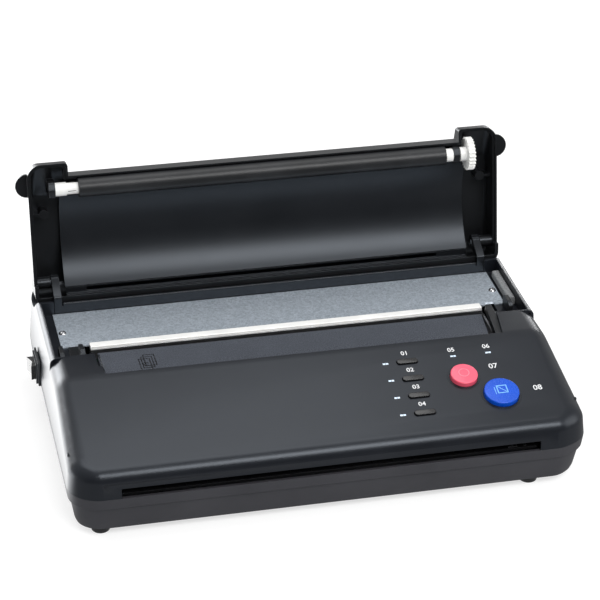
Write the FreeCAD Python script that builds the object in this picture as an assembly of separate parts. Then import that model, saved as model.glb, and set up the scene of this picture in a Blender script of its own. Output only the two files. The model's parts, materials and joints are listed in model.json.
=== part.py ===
import FreeCAD, Part
import math
import os
from FreeCAD import Vector

# Thermal stencil copier with its cover standing open.
# While it is built, x = 0 is the middle, y = 0 the front face at the parting line, z = 0 the table.
# At the end everything moves along y, so that the origin is the middle of the footprint box.

# Main sizes
body_width = 405.0
body_depth = 264.0
feet_height = 6.0
parting_height = 37.0
rim_height = 82.0
crest_setback = 105.0
panel_front_height = 57.8
front_corner_radius = 24.0
rear_corner_radius = 16.0
wall = 2.6
cut_overrun = 1.0

# Fits and clearances
running_clearance = 0.05
piece_clearance = 0.3
panel_gap = 0.4
swing_clearance = 0.8

# Base tray
band_height = 9.0
band_draft = 0.8
band_step = 1.5
skirt_draft = 2.7
skirt_round = 4.0
tray_floor = 2.5
tongue_height = 2.0
tongue_thickness = 1.2
tongue_play = 0.5
pillar_radius = 4.5
pillar_offset = 16.5
pillar_front = 34.0
pillar_middle = 124.0
pillar_rear_inset = 23.0
pillar_rib = 2.0
pillar_rib_height = 12.0
screw_radius = 1.5
screw_head_radius = 3.2
screw_head_height = 2.2
screw_seat_depth = 8.0
screw_reach = 14.0
tray_vent_count = 9
tray_vent_width = 3.0
tray_vent_length = 34.0
tray_vent_pitch = 8.0
tray_vent_centre_x = -95.0
tray_vent_centre_y_inset = 50.0

# Rubber feet
foot_radius = 8.0
foot_round = 2.0
foot_stem_radius = 2.5
foot_left_x_inset = 23.0
foot_right_x_inset = 40.5
foot_front_y = 17.0
foot_rear_x_inset = 24.5
foot_rear_y_inset = 21.0

# Upper housing
side_draft = 3.5
front_draft = 3.0
rear_draft = 1.5
front_round = 12.0
crest_round = 40.0
rear_wall_top_drop = 6.0
top_edge_round = 5.0
shoulder_round = 13.0
shoulder_inner_round = 16.0
slot_half_width_inset = 37.5
slot_height = 8.0
slot_rib_count = 23
slot_rib_thickness = 1.2
slot_rib_depth = 14.0
slot_rib_height = 1.0
exit_half_width_inset = 42.5
exit_height = 7.0
well_front = 106.5
well_half_narrow_inset = 42.0
well_half_wide_inset = 8.0
well_left_front = 138.0
well_right_front = 138.0
well_rear_inset = 40.4
well_wall = 2.0
well_bottom_drop = 18.0
well_corner = 4.0
well_notch_side_inset = 38.9
well_notch_front = 119.0
well_right_side_front_inset = 38.7
well_right_side_rear_inset = 34.0
vent_round_share = 0.45
ledge_thickness = 2.8
ledge_side_width = 17.5
ledge_rear_width = 9.0
housing_pillar_top_drop = 22.0
side_vent_count = 6
side_vent_width = 2.4
side_vent_length = 20.0
side_vent_pitch = 7.0
side_vent_first = 60.0
side_vent_height = 14.0

# Hinge and cover
hinge_setback_inset = 20.4
hinge_rise = 8.0
open_angle = 102.0
barrel_radius = 18.5
barrel_lip_drop = 11.9
cover_half_width_inset = 4.0
cover_front = 91.0
cover_ear_front = 102.0
cover_ear_width = 33.5
cover_crown_rise = 24.0
cover_crown_reach = 72.0
cover_crown_round = 40.0
cover_tip_rise = 9.5
cover_wall = 3.2
cover_front_round = 4.0
cover_corner_round = 12.0
cover_ear_inner_round = 3.0
cover_side_round = 9.0
rabbet_wall = 1.5
rabbet_depth = 2.2
tab_radius = 9.6
tab_thickness = 3.0
tab_reach = 84.0
tab_rise = 5.0
hinge_pin_radius = 2.0
hinge_pin_start_inset = 24.9
hinge_arm_thickness = 6.4
hinge_arm_radius = 6.0
hinge_arm_drop = 0.8
hinge_boss_radius = 5.0
hinge_boss_gap = 0.5
catch_boss_radius = 4.0
catch_boss_reach = 57.6
catch_boss_half_gap_inset = 16.5
catch_boss_length = 9.0
liner_half_width_inset = 29.9
liner_thickness = 1.2
liner_low_reach = -4.0
liner_low_depth = 4.4
liner_mid_reach = 34.0
liner_mid_depth = 17.6
liner_high_reach = 73.0
liner_high_depth = 7.0
rail_half_width_inset = 30.5
rail_slot_left_inset = 47.5
rail_slot_right_inset = 56.5
rail_reach = -13.0
rail_width = 8.5
rail_thickness = 2.6
rail_depth = 5.2
rail_lip = 3.4
rail_slot_width = 3.0

# Platen roller
platen_reach = 80.6
platen_radius = 8.0
platen_relief = 0.5
platen_left_inset = 45.0
platen_right_inset = 50.1
shaft_radius = 3.0
shaft_left_inset = 22.0
shaft_right_inset = 24.5
bush_left_outer_inset = 21.8
bush_left_step_inset = 35.1
bush_left_inner_inset = 44.8
bush_collar_radius = 5.6
bush_sleeve_radius = 4.8
bush_right_outer_inset = 43.5
bush_right_inner_inset = 49.5
bracket_right_inner_inset = 43.3
bracket_right_outer_inset = 37.8
bracket_left_inner_inset = 25.9
bracket_left_outer_inset = 20.5
bracket_width = 14.0
bracket_foot = 8.0
bracket_end_wall = 1.2
hub_right_inner_inset = 37.1
gear_inner_inset = 31.9
gear_width = 5.6
hub_radius = 6.0

# Gears
gear_module = 1.0
platen_teeth = 26
drive_teeth = 20
idler_teeth = 30
motor_teeth = 12
scan_teeth = 24
tooth_addendum_share = 0.95
tooth_dedendum_share = 1.2
tooth_root_share = 0.30
tooth_pitch_share = 0.215
tooth_tip_share = 0.10
drive_gear_angle = 240.0
idler_angle = 257.0
motor_gear_angle = -18.0
gear_stud_radius = 2.0
gear_stud_head = 3.2
gear_stud_lip = 1.2
gear_hub_radius = 4.2
gear_side_play = 0.3
gear_web_recess = 1.2
gear_rim = 3.2

# Side frames and head
frame_outer_inset = 35.0
frame_thickness = 1.5
frame_front = 44.0
frame_rear_inset = 46.0
frame_top_drop = 18.5
frame_nose_top = 52.0
frame_nose_rear = 96.0
frame_foot_width = 12.0
frame_corner = 5.0
plate_half_width_inset = 16.5
plate_front = 169.5
plate_rear_inset = 41.0
plate_thickness = 1.2
plate_top_drop = 11.2
plate_lip = 5.0
plate_screw_x_inset = 20.5
plate_screw_y = 192.0
plate_screw_radius = 1.6
plate_screw_head = 3.6
plate_screw_rise = 1.6
plate_screw_slot = 0.8
relief_play = 1.2
head_half_width_inset = 39.0
head_front = 161.5
head_rear = 169.0
head_top_drop = 8.6
head_thickness = 1.8
glaze_radius = 0.7
sink_front = 160.0
sink_height = 3.6
fin_count = 3
fin_thickness = 1.2
fin_depth = 5.0
beam_front = 152.0
beam_rear = 169.0
beam_drop = 29.6
beam_thickness = 1.6
beam_flange = 2.5
leaf_length = 44.0
leaf_width = 9.0
leaf_thickness = 0.9
leaf_x = 105.0
leaf_foot = 8.0

# Entry guide behind the panel
guide_half_width_inset = 42.9
guide_rear = 151.0
guide_front = 108.0
guide_rear_drop = 8.2
guide_front_drop = 5.8
guide_thickness = 1.2
guide_notch_left_width = 1.2
guide_notch_left_front = 119.0
guide_notch_left_rear = 149.0
guide_notch_right_width = 5.6
guide_notch_right_rear = 149.0
guide_leg_height = 9.6
guide_leg_thickness = 1.6

# Rear rail, catches, clips and pad
strip_half_width_inset = 25.9
strip_top_drop = 1.8
strip_thickness = 2.6
strip_foot_drop = 12.4
strip_bead = 0.9
hook_left_x_inset = 14.0
hook_right_x_inset = 16.9
hook_thickness = 3.4
hook_right_front = 152.0
hook_length = 18.0
hook_drop = 1.5
hook_left_front = 142.0
clip_left_x_inset = 31.5
clip_width = 3.6
clip_front = 151.0
clip_rear = 168.5
clip_top_drop = 5.0
arm_width = 5.2
arm_front = 108.0
arm_rear = 153.0
arm_bottom_drop = 7.5
arm_top_drop = 1.5
pad_front = 168.0
pad_rear_inset = 50.0
pad_width = 6.2
pad_height = 7.0

# Scanner
scan_roller_y = 59.5
scan_roller_radius = 7.0
scan_roller_height = 45.4
scan_roller_half_inset = 52.5
scan_shaft_left_inset = 30.5
scan_shaft_step = 2.5
scan_bush_radius = 5.0
scan_bush_flange = 7.0
scan_bush_lip = 1.5
sensor_half_inset = 50.5
sensor_front = 49.0
sensor_depth = 21.0
sensor_height = 10.0
sensor_base = 26.4
sensor_glass = 1.8
paper_path = 37.6
table_front = 6.0
table_thickness = 2.0
table_half_inset = 38.5
table_rib_count = 21
table_rib_height = 0.8
table_rib_thickness = 1.4
table_leg_inset = 30.0
flag_x_inset = 54.5
flag_y = 21.0
flag_pin_height = 53.0
flag_pin_radius = 1.5
flag_width = 5.0
flag_length = 10.0
flag_hub_radius = 3.0
flag_swing = 40.0
flag_ear = 3.0

# Drive motor
motor_size = 35.0
motor_length = 34.0
motor_corner = 4.0
motor_boss_radius = 11.0
motor_boss_length = 1.4
motor_shaft_radius = 2.5

# Boards
board_thickness = 1.6
board_height = 14.0
board_rear_inset = 18.0
main_board_left = -18.0
main_board_right_inset = 84.5
main_board_front = 188.0
power_board_left_inset = 50.5
power_board_right = -36.0
power_board_front = 182.0
chip_height = 1.6
plug_height = 7.0
transformer_height = 20.0
capacitor_height = 16.0
standoff_radius = 3.0
standoff_inset = 6.0
control_board_left_inset = 156.5
control_board_right_inset = 34.0
control_board_front = 26.0
control_board_rear = 96.0
control_board_drop = 9.0

# Controls on the panel
key_x_inset = 124.2
key_first_y = 85.0
key_pitch = 18.4
key_count = 4
key_length = 17.0
key_width = 5.0
key_rise = 1.5
key_travel = 0.8
window_x_inset = 142.0
window_length = 4.6
window_width = 1.8
window_thickness = 1.0
power_window_x_inset = 86.1
error_window_x_inset = 57.0
status_window_y = 85.8
stop_x_inset = 83.9
stop_y = 62.4
stop_radius = 10.9
copy_x_inset = 59.3
copy_y = 40.4
copy_radius = 14.0
round_key_rise = 4.2
round_key_edge = 1.0
round_key_travel = 1.5
key_flange = 1.2
key_flange_rise = 1.0
key_flange_gap = 0.1
collar_width = 1.6
collar_rise = 0.4
switch_size = 6.0
switch_height = 3.0

# Power switch and inlet
rocker_frame_front_inset = 83.0
rocker_frame_rear_inset = 57.0
rocker_frame_bottom = 29.6
rocker_frame_top = 51.0
rocker_frame_thickness = 3.4
rocker_frame_step = 1.6
rocker_bezel = 2.6
rocker_body_depth = 18.0
rocker_tilt = 12.0
rocker_proud = 3.6
rocker_radius = 17.0
rocker_pin_radius = 1.6
rocker_back = 2.4
paddle_side_share = 0.8
inlet_x_inset = 52.5
inlet_height = 57.5
inlet_width = 28.0
inlet_tall = 20.0
inlet_depth = 18.0
inlet_flange = 3.0
inlet_flange_thickness = 2.0
inlet_wall = 2.0
inlet_corner = 5.0
inlet_pin_width = 2.0
inlet_pin_length = 4.0
inlet_pin_spacing = 7.0
inlet_pin_reach = 12.0

X_AXIS = Vector(1, 0, 0)
Y_AXIS = Vector(0, 1, 0)
Z_AXIS = Vector(0, 0, 1)

# Sizes that follow from the ones above
half_width = body_width / 2
slot_half_width = half_width - slot_half_width_inset
exit_half_width = half_width - exit_half_width_inset
well_half_narrow = half_width - well_half_narrow_inset
well_half_wide = half_width - well_half_wide_inset
well_notch_side = half_width - well_notch_side_inset
well_right_side_front = half_width - well_right_side_front_inset
well_right_side_rear = half_width - well_right_side_rear_inset
cover_half_width = half_width - cover_half_width_inset
hinge_pin_start = half_width - hinge_pin_start_inset
catch_boss_half_gap = half_width - catch_boss_half_gap_inset
liner_half_width = half_width - liner_half_width_inset
rail_half_width = half_width - rail_half_width_inset
rail_slot_left = rail_slot_left_inset - half_width
rail_slot_right = half_width - rail_slot_right_inset
platen_left = platen_left_inset - half_width
platen_right = half_width - platen_right_inset
shaft_left = shaft_left_inset - half_width
shaft_right = half_width - shaft_right_inset
bush_left_outer = bush_left_outer_inset - half_width
bush_left_step = bush_left_step_inset - half_width
bush_left_inner = bush_left_inner_inset - half_width
bush_right_outer = half_width - bush_right_outer_inset
bush_right_inner = half_width - bush_right_inner_inset
bracket_right_inner = half_width - bracket_right_inner_inset
bracket_right_outer = half_width - bracket_right_outer_inset
bracket_left_inner = bracket_left_inner_inset - half_width
bracket_left_outer = bracket_left_outer_inset - half_width
hub_right_inner = half_width - hub_right_inner_inset
gear_inner = half_width - gear_inner_inset
frame_outer = half_width - frame_outer_inset
plate_half_width = half_width - plate_half_width_inset
plate_screw_x = half_width - plate_screw_x_inset
head_half_width = half_width - head_half_width_inset
guide_half_width = half_width - guide_half_width_inset
strip_half_width = half_width - strip_half_width_inset
hook_left_x = hook_left_x_inset - half_width
hook_right_x = half_width - hook_right_x_inset
clip_left_x = clip_left_x_inset - half_width
scan_roller_half = half_width - scan_roller_half_inset
scan_shaft_left = scan_shaft_left_inset - half_width
sensor_half = half_width - sensor_half_inset
table_half = half_width - table_half_inset
main_board_right = half_width - main_board_right_inset
power_board_left = power_board_left_inset - half_width
control_board_left = half_width - control_board_left_inset
control_board_right = half_width - control_board_right_inset
key_x = half_width - key_x_inset
window_x = half_width - window_x_inset
power_window_x = half_width - power_window_x_inset
error_window_x = half_width - error_window_x_inset
stop_x = half_width - stop_x_inset
copy_x = half_width - copy_x_inset
flag_x = half_width - flag_x_inset
inlet_x = inlet_x_inset - half_width
foot_left_x = foot_left_x_inset - half_width
foot_right_x = half_width - foot_right_x_inset
foot_rear_x = half_width - foot_rear_x_inset
hinge_height = rim_height + hinge_rise
well_bottom = rim_height - well_bottom_drop
rear_wall_top = rim_height - rear_wall_top_drop
plate_top = rim_height - plate_top_drop
head_top = rim_height - head_top_drop
guide_rear_height = rim_height - guide_rear_drop
guide_front_height = rim_height - guide_front_drop
strip_top = rim_height - strip_top_drop
strip_foot = rim_height - strip_foot_drop
hook_height = rim_height - hook_drop
clip_top = rim_height - clip_top_drop
arm_bottom = rim_height - arm_bottom_drop
arm_top = rim_height - arm_top_drop
frame_top = rim_height - frame_top_drop
beam_height = rim_height - beam_drop
cover_crown_height = rim_height + cover_crown_rise
cover_tip_height = rim_height + cover_tip_rise
housing_pillar_top = rim_height - housing_pillar_top_drop
hinge_setback = body_depth - hinge_setback_inset
well_rear = body_depth - well_rear_inset
frame_rear = body_depth - frame_rear_inset
plate_rear = body_depth - plate_rear_inset
pad_rear = body_depth - pad_rear_inset
board_rear = body_depth - board_rear_inset
foot_rear_y = body_depth - foot_rear_y_inset
rocker_frame_front = body_depth - rocker_frame_front_inset
rocker_frame_rear = body_depth - rocker_frame_rear_inset
tray_vent_centre_y = body_depth - tray_vent_centre_y_inset
panel_slope = (rim_height - panel_front_height) / (crest_setback - front_draft)
panel_angle = math.degrees(math.atan(panel_slope))
base_bottom = feet_height
floor_top = base_bottom + tray_floor
cover_low = rim_height
cover_top_rear = hinge_height + barrel_radius
platen_y = hinge_setback - platen_reach
platen_z = rim_height
ledge_top = plate_top - plate_thickness
gear_outer = gear_inner + gear_width
frame_inner = frame_outer - frame_thickness
key_low = -wall - key_flange_gap - key_flange_rise
glass_top = sensor_base + sensor_height + sensor_glass

nodes = {}


def keep(name, shape):
    nodes[name] = shape


def block(x0, x1, y0, y1, z0, z1):
    return Part.makeBox(x1 - x0, y1 - y0, z1 - z0, Vector(x0, y0, z0))


def rod_x(radius, x0, x1, y, z):
    return Part.makeCylinder(radius, x1 - x0, Vector(x0, y, z), X_AXIS)


def rod_y(radius, y0, y1, x, z):
    return Part.makeCylinder(radius, y1 - y0, Vector(x, y0, z), Y_AXIS)


def rod_z(radius, z0, z1, x, y):
    return Part.makeCylinder(radius, z1 - z0, Vector(x, y, z0), Z_AXIS)


def merge(shapes):
    first = shapes[0]
    if len(shapes) == 1:
        return first
    return first.fuse(shapes[1:]).removeSplitter()


def rounded_path(corners, place):
    """A closed wire through (u, v, radius) corners, each turned by a tangent arc."""
    count = len(corners)
    joints = []
    for i in range(count):
        u, v, radius = corners[i]
        before = Vector(corners[i - 1][0], corners[i - 1][1], 0)
        here = Vector(u, v, 0)
        after = Vector(corners[(i + 1) % count][0], corners[(i + 1) % count][1], 0)
        if radius == 0:
            joints.append((here, None, here))
            continue
        back = (before - here).normalize()
        ahead = (after - here).normalize()
        half = back.getAngle(ahead) / 2
        reach = radius / math.tan(half)
        bisector = (back + ahead).normalize()
        middle = here + bisector * (radius / math.sin(half) - radius)
        joints.append((here + back * reach, middle, here + ahead * reach))
    edges = []
    for i in range(count):
        start, middle, end = joints[i]
        if middle is not None:
            arc = Part.Arc(place(start.x, start.y), place(middle.x, middle.y), place(end.x, end.y))
            edges.append(arc.toShape())
        following = joints[(i + 1) % count][0]
        if (following - end).Length > 0:
            edges.append(Part.makeLine(place(end.x, end.y), place(following.x, following.y)))
    return Part.Wire(edges)


def prism_x(corners, x0, x1):
    path = rounded_path(corners, lambda u, v: Vector(x0, u, v))
    return Part.Face(path).extrude(Vector(x1 - x0, 0, 0))


def prism_y(corners, y0, y1):
    path = rounded_path(corners, lambda u, v: Vector(u, y0, v))
    return Part.Face(path).extrude(Vector(0, y1 - y0, 0))


def prism_z(corners, z0, z1):
    path = rounded_path(corners, lambda u, v: Vector(u, v, z0))
    return Part.Face(path).extrude(Vector(0, 0, z1 - z0))


def rounded_rectangle(u0, u1, v0, v1, radius):
    return [(u0, v0, radius), (u1, v0, radius), (u1, v1, radius), (u0, v1, radius)]


def footprint(inset, height, front_inset=None, rear_inset=None):
    """The body's outline at one height, drawn in by an inset on each side."""
    front = inset if front_inset is None else front_inset
    rear = inset if rear_inset is None else rear_inset
    side = half_width - inset
    back = body_depth - rear
    corners = [
        (-side, front, front_corner_radius - inset),
        (side, front, front_corner_radius - inset),
        (side, back, rear_corner_radius - inset),
        (-side, back, rear_corner_radius - inset),
    ]
    return rounded_path(corners, lambda u, v: Vector(u, v, height))


def ring_teeth(teeth, phase):
    """Corners of a toothed outline, with its first tooth at the phase angle."""
    pitch_radius = gear_module * teeth / 2
    tip = pitch_radius + gear_module * tooth_addendum_share
    root = pitch_radius - gear_module * tooth_dedendum_share
    step = 2 * math.pi / teeth
    corners = []
    for i in range(teeth):
        middle = math.radians(phase) + i * step
        for radius, share, side in (
            (root, tooth_root_share, -1),
            (tip, tooth_tip_share, -1),
            (tip, tooth_tip_share, 1),
            (root, tooth_root_share, 1),
        ):
            angle = middle + side * share * step
            corners.append((radius * math.cos(angle), radius * math.sin(angle), 0))
    return corners


def gear(teeth, phase, y, z, bore):
    """A spur gear on an x shaft, with a thinned web."""
    corners = [(y + u, z + v, r) for u, v, r in ring_teeth(teeth, phase)]
    body = prism_x(corners, gear_inner, gear_outer)
    web = gear_module * (teeth / 2 - tooth_dedendum_share) - gear_rim
    if web > gear_hub_radius + gear_rim:
        groove = rod_x(web, gear_outer - gear_web_recess, gear_outer, y, z)
        groove = groove.cut(rod_x(gear_hub_radius, gear_inner, gear_outer, y, z))
        body = body.cut(groove)
    hole = rod_x(bore, gear_inner - cut_overrun, gear_outer + cut_overrun, y, z)
    return body.cut(hole)


def mesh_position(y, z, teeth, other_teeth, angle):
    reach = gear_module * (teeth + other_teeth) / 2
    turn = math.radians(angle)
    return y + reach * math.cos(turn), z + reach * math.sin(turn)


def mesh_phase(teeth, phase, other_teeth, angle):
    """The phase that puts a gap of the other gear on the line where this gear's tooth lies."""
    step = 360.0 / teeth
    other_step = 360.0 / other_teeth
    lead = (angle - phase) / step
    return angle + 180.0 + other_step / 2 + lead * other_step


def open_cover(shape):
    """Turn a piece modelled with the cover shut to where it stands with the cover open."""
    turned = shape.copy()
    turned.rotate(Vector(0, hinge_setback, hinge_height), X_AXIS, -open_angle)
    return turned


def panel_height(y):
    return rim_height - panel_slope * (crest_setback - y)


def on_panel(shape, x, y):
    """Put a piece, modelled upright round the origin, on the sloping panel."""
    placed = shape.copy()
    placed.rotate(Vector(0, 0, 0), X_AXIS, panel_angle)
    placed.translate(Vector(x, y, panel_height(y)))
    return placed


def pillar_places():
    side = half_width - pillar_offset
    rows = (pillar_front, pillar_middle, body_depth - pillar_rear_inset)
    return [(sign * side, y) for y in rows for sign in (-1, 1)]


def foot_places():
    return [
        (foot_left_x, foot_front_y),
        (foot_right_x, foot_front_y),
        (-foot_rear_x, foot_rear_y),
        (foot_rear_x, foot_rear_y),
    ]


def rocker_hole():
    return block(
        -half_width - cut_overrun,
        -half_width + rocker_body_depth,
        rocker_frame_front + rocker_bezel,
        rocker_frame_rear - rocker_bezel,
        rocker_frame_bottom + rocker_bezel,
        rocker_frame_top - rocker_bezel,
    )


def build_base():
    band_low = parting_height - band_height
    upper = Part.makeLoft([footprint(band_draft, band_low), footprint(0, parting_height)], True, True)
    skirt_top = band_draft + band_step
    skirt_low = skirt_top + skirt_draft
    lower = Part.makeLoft(
        [
            footprint(skirt_low + skirt_round, base_bottom),
            footprint(skirt_low + skirt_round / 4, base_bottom + skirt_round / 4),
            footprint(skirt_low, base_bottom + skirt_round),
            footprint(skirt_top, band_low),
        ],
        True,
        True,
    )
    form = upper.fuse(lower)
    hollow = Part.makeLoft(
        [
            footprint(skirt_low + wall + skirt_round / 2, floor_top),
            footprint(skirt_top + wall, band_low),
            footprint(wall, parting_height + cut_overrun),
        ],
        True,
        True,
    )
    body = form.cut(hollow)
    tongue_out = Part.makeLoft(
        [footprint(wall + tongue_play, parting_height - tongue_height),
         footprint(wall + tongue_play, parting_height + tongue_height)], True, True)
    tongue_in = Part.makeLoft(
        [footprint(wall + tongue_play + tongue_thickness, parting_height - tongue_height - cut_overrun),
         footprint(wall + tongue_play + tongue_thickness, parting_height + tongue_height + cut_overrun)],
        True, True)
    tongue = tongue_out.cut(tongue_in)
    tongue = tongue.cut(block(-slot_half_width - wall, slot_half_width + wall, -cut_overrun,
                              body_depth + cut_overrun, parting_height - tongue_height,
                              parting_height + tongue_height + cut_overrun))
    body = body.fuse(tongue)
    pieces = [body]
    for x, y in pillar_places():
        pieces.append(rod_z(pillar_radius, base_bottom, parting_height, x, y))
        x0, x1 = sorted((x, math.copysign(half_width, x)))
        rib = block(x0, x1, y - pillar_rib / 2, y + pillar_rib / 2, floor_top, floor_top + pillar_rib_height)
        pieces.append(rib.common(form))
    for x, y in board_standoffs():
        pieces.append(rod_z(standoff_radius, base_bottom, board_height, x, y))
    for sign in (-1, 1):
        x = sign * (sensor_half - table_leg_inset)
        pieces.append(block(x - pillar_rib, x + pillar_rib, sensor_front, sensor_front + sensor_depth,
                            base_bottom + tray_floor / 2, sensor_base))
        x = sign * (table_half - table_leg_inset)
        pieces.append(block(x - pillar_rib, x + pillar_rib, table_front + wall, sensor_front - wall,
                            base_bottom + tray_floor / 2, paper_path - table_thickness))
    body = merge(pieces)
    holes = [rocker_hole()]
    for x, y in pillar_places():
        holes.append(rod_z(screw_radius, base_bottom - cut_overrun, parting_height + cut_overrun, x, y))
        holes.append(rod_z(screw_head_radius + piece_clearance, base_bottom - cut_overrun,
                           base_bottom + screw_seat_depth, x, y))
    for x, y in foot_places():
        holes.append(rod_z(foot_stem_radius, base_bottom - cut_overrun, floor_top + cut_overrun, x, y))
    for i in range(tray_vent_count):
        x = tray_vent_centre_x + (i - (tray_vent_count - 1) / 2) * tray_vent_pitch
        holes.append(prism_z(rounded_rectangle(x - tray_vent_width / 2, x + tray_vent_width / 2,
                                               tray_vent_centre_y - tray_vent_length / 2,
                                               tray_vent_centre_y + tray_vent_length / 2,
                                               tray_vent_width * vent_round_share),
                             base_bottom - cut_overrun, floor_top + cut_overrun))
    keep("base_tray", body.cut(holes))


def board_standoffs():
    places = []
    for left, right, front in ((main_board_left, main_board_right, main_board_front),
                               (power_board_left, power_board_right, power_board_front)):
        for x in (left + standoff_inset, right - standoff_inset):
            for y in (front + standoff_inset, board_rear - standoff_inset):
                places.append((x, y))
    return places


def build_feet():
    feet = []
    for x, y in foot_places():
        profile = [(0, 0, 0), (foot_radius - foot_round / 2, 0, foot_round / 2),
                   (foot_radius, feet_height - foot_round, 0), (foot_radius, feet_height, 0),
                   (foot_stem_radius, feet_height, 0),
                   (foot_stem_radius, floor_top + foot_round, 0), (0, floor_top + foot_round, 0)]
        path = rounded_path(profile, lambda u, v: Vector(x + u, y, v))
        feet.append(Part.Face(path).revolve(Vector(x, y, 0), Z_AXIS, 360))
    keep("rubber_feet", Part.makeCompound(feet))


def build_base_screws():
    screws = []
    for x, y in pillar_places():
        seat = base_bottom + screw_seat_depth
        shank = rod_z(screw_radius - running_clearance, seat, parting_height + screw_reach, x, y)
        head = rod_z(screw_head_radius, seat - screw_head_height, seat, x, y)
        slot = merge([
            block(x - screw_head_radius / 2, x + screw_head_radius / 2, y - screw_radius / 4,
                  y + screw_radius / 4, seat - screw_head_height - cut_overrun, seat - screw_head_height / 2),
            block(x - screw_radius / 4, x + screw_radius / 4, y - screw_head_radius / 2,
                  y + screw_head_radius / 2, seat - screw_head_height - cut_overrun,
                  seat - screw_head_height / 2)])
        screws.append(shank.fuse(head).cut(slot).removeSplitter())
    keep("base_screws", Part.makeCompound(screws))


def build_housing():
    behind = block(-half_width - side_draft, half_width + side_draft, well_left_front - well_wall, body_depth,
                   0, rim_height)
    outer = outer_housing(0, parting_height, front_round, top_edge_round).common(behind)
    outer = outer.fuse(outer_housing(0, parting_height, front_round, shoulder_round))
    inner = outer_housing(wall, parting_height - cut_overrun, front_round - wall, 0)
    inner = inner.common(behind).fuse(inner.common(shoulder_limit()))
    body = outer.cut(inner)
    trough = rod_x(barrel_radius + swing_clearance, -half_width - cut_overrun, half_width + cut_overrun,
                   hinge_setback, hinge_height)
    trough_skin = rod_x(barrel_radius + swing_clearance + wall, -half_width, half_width,
                        hinge_setback, hinge_height)
    trough_skin = trough_skin.common(outer_housing(wall / 2, parting_height, front_round, 0))
    trough_skin = trough_skin.common(block(-half_width, half_width, well_rear, body_depth,
                                           parting_height, strip_foot + cut_overrun))
    recess = well_outline(0)
    well = prism_z(well_outline(well_wall), well_bottom, rim_height)
    well = well.common(outer_housing(wall / 2, parting_height, front_round, 0))
    ledges = merge([
        block(-well_half_wide, -well_half_wide + ledge_side_width, well_left_front, well_rear,
              ledge_top - ledge_thickness, ledge_top),
        block(well_half_wide - ledge_side_width, well_half_wide, well_right_front, well_rear,
              ledge_top - ledge_thickness, ledge_top),
        block(-well_half_wide, well_half_wide, well_rear - ledge_rear_width, well_rear + wall,
              ledge_top - ledge_thickness, ledge_top),
    ])
    cavity = prism_z(recess, well_bottom - cut_overrun, rim_height + cut_overrun)
    notch = block(-well_notch_side, -well_half_narrow + well_wall, well_notch_front,
                  well_left_front + well_corner, well_bottom, rim_height + cut_overrun)
    notch_wall = block(-well_notch_side - well_wall, -well_half_narrow, well_notch_front - well_wall,
                       well_left_front + well_corner, well_bottom, rim_height - wall / 2)
    notch_wall = notch_wall.common(outer_housing(wall / 2, parting_height, front_round, 0))
    body = body.fuse([well, notch_wall, trough_skin])
    body = body.cut([cavity, notch])
    pillars = []
    for x, y in pillar_places():
        outer_x = math.copysign(half_width - wall, x)
        pillars.append(rod_z(pillar_radius, parting_height, housing_pillar_top, x, y))
        pillars.append(block(min(x, outer_x), max(x, outer_x), y - pillar_rib / 2, y + pillar_rib / 2,
                             parting_height + tongue_height + piece_clearance, housing_pillar_top))
    body = body.fuse([ledges] + pillars)
    body = body.cut(trough)
    arm_side = hinge_pin_start + hinge_arm_thickness + piece_clearance
    cuts = [
        block(-arm_side, arm_side, well_rear - cut_overrun, well_rear + 2 * strip_thickness + piece_clearance,
              strip_foot, rim_height + cut_overrun),
        block(-half_width, half_width, hinge_setback, body_depth + cut_overrun, rear_wall_top,
              rim_height + cut_overrun),
        block(-slot_half_width, slot_half_width, -cut_overrun, front_corner_radius,
              parting_height - cut_overrun, parting_height + slot_height),
        block(-exit_half_width, exit_half_width, body_depth - rear_corner_radius, body_depth + cut_overrun,
              parting_height - cut_overrun, parting_height + exit_height),
        rocker_hole(),
        inlet_hole(),
    ]
    for x, y in pillar_places():
        cuts.append(rod_z(screw_radius, parting_height - cut_overrun, parting_height + screw_reach, x, y))
    for sign in (-1, 1):
        cuts.append(rod_z(plate_screw_radius, ledge_top - ledge_thickness - cut_overrun,
                          ledge_top + cut_overrun, sign * plate_screw_x, plate_screw_y))
    for i in range(side_vent_count):
        y = side_vent_first + i * side_vent_pitch
        z = parting_height + side_vent_height
        hole = prism_x(rounded_rectangle(y - side_vent_width / 2, y + side_vent_width / 2,
                                         z - side_vent_length / 2, z + side_vent_length / 2,
                                         side_vent_width * vent_round_share),
                       half_width - side_draft - wall * 2, half_width + cut_overrun)
        cuts.append(hole)
    cuts.extend(panel_holes())
    ribs = []
    for i in range(slot_rib_count):
        x = (i - (slot_rib_count - 1) / 2) * 2 * slot_half_width / slot_rib_count
        z = parting_height + slot_height
        ribs.append(prism_x([(front_draft, z - slot_rib_height, 0), (slot_rib_depth, z - slot_rib_height, 0),
                             (slot_rib_depth, z + wall, 0), (wall, z + wall, 0)],
                            x - slot_rib_thickness / 2, x + slot_rib_thickness / 2))
    ceiling = block(-slot_half_width - wall, slot_half_width + wall, wall, slot_rib_depth,
                    parting_height + slot_height, parting_height + slot_height + wall / 2)
    body = body.cut(cuts)
    body = body.fuse(collars() + [ceiling] + ribs)
    keep("upper_housing", body)


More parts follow.
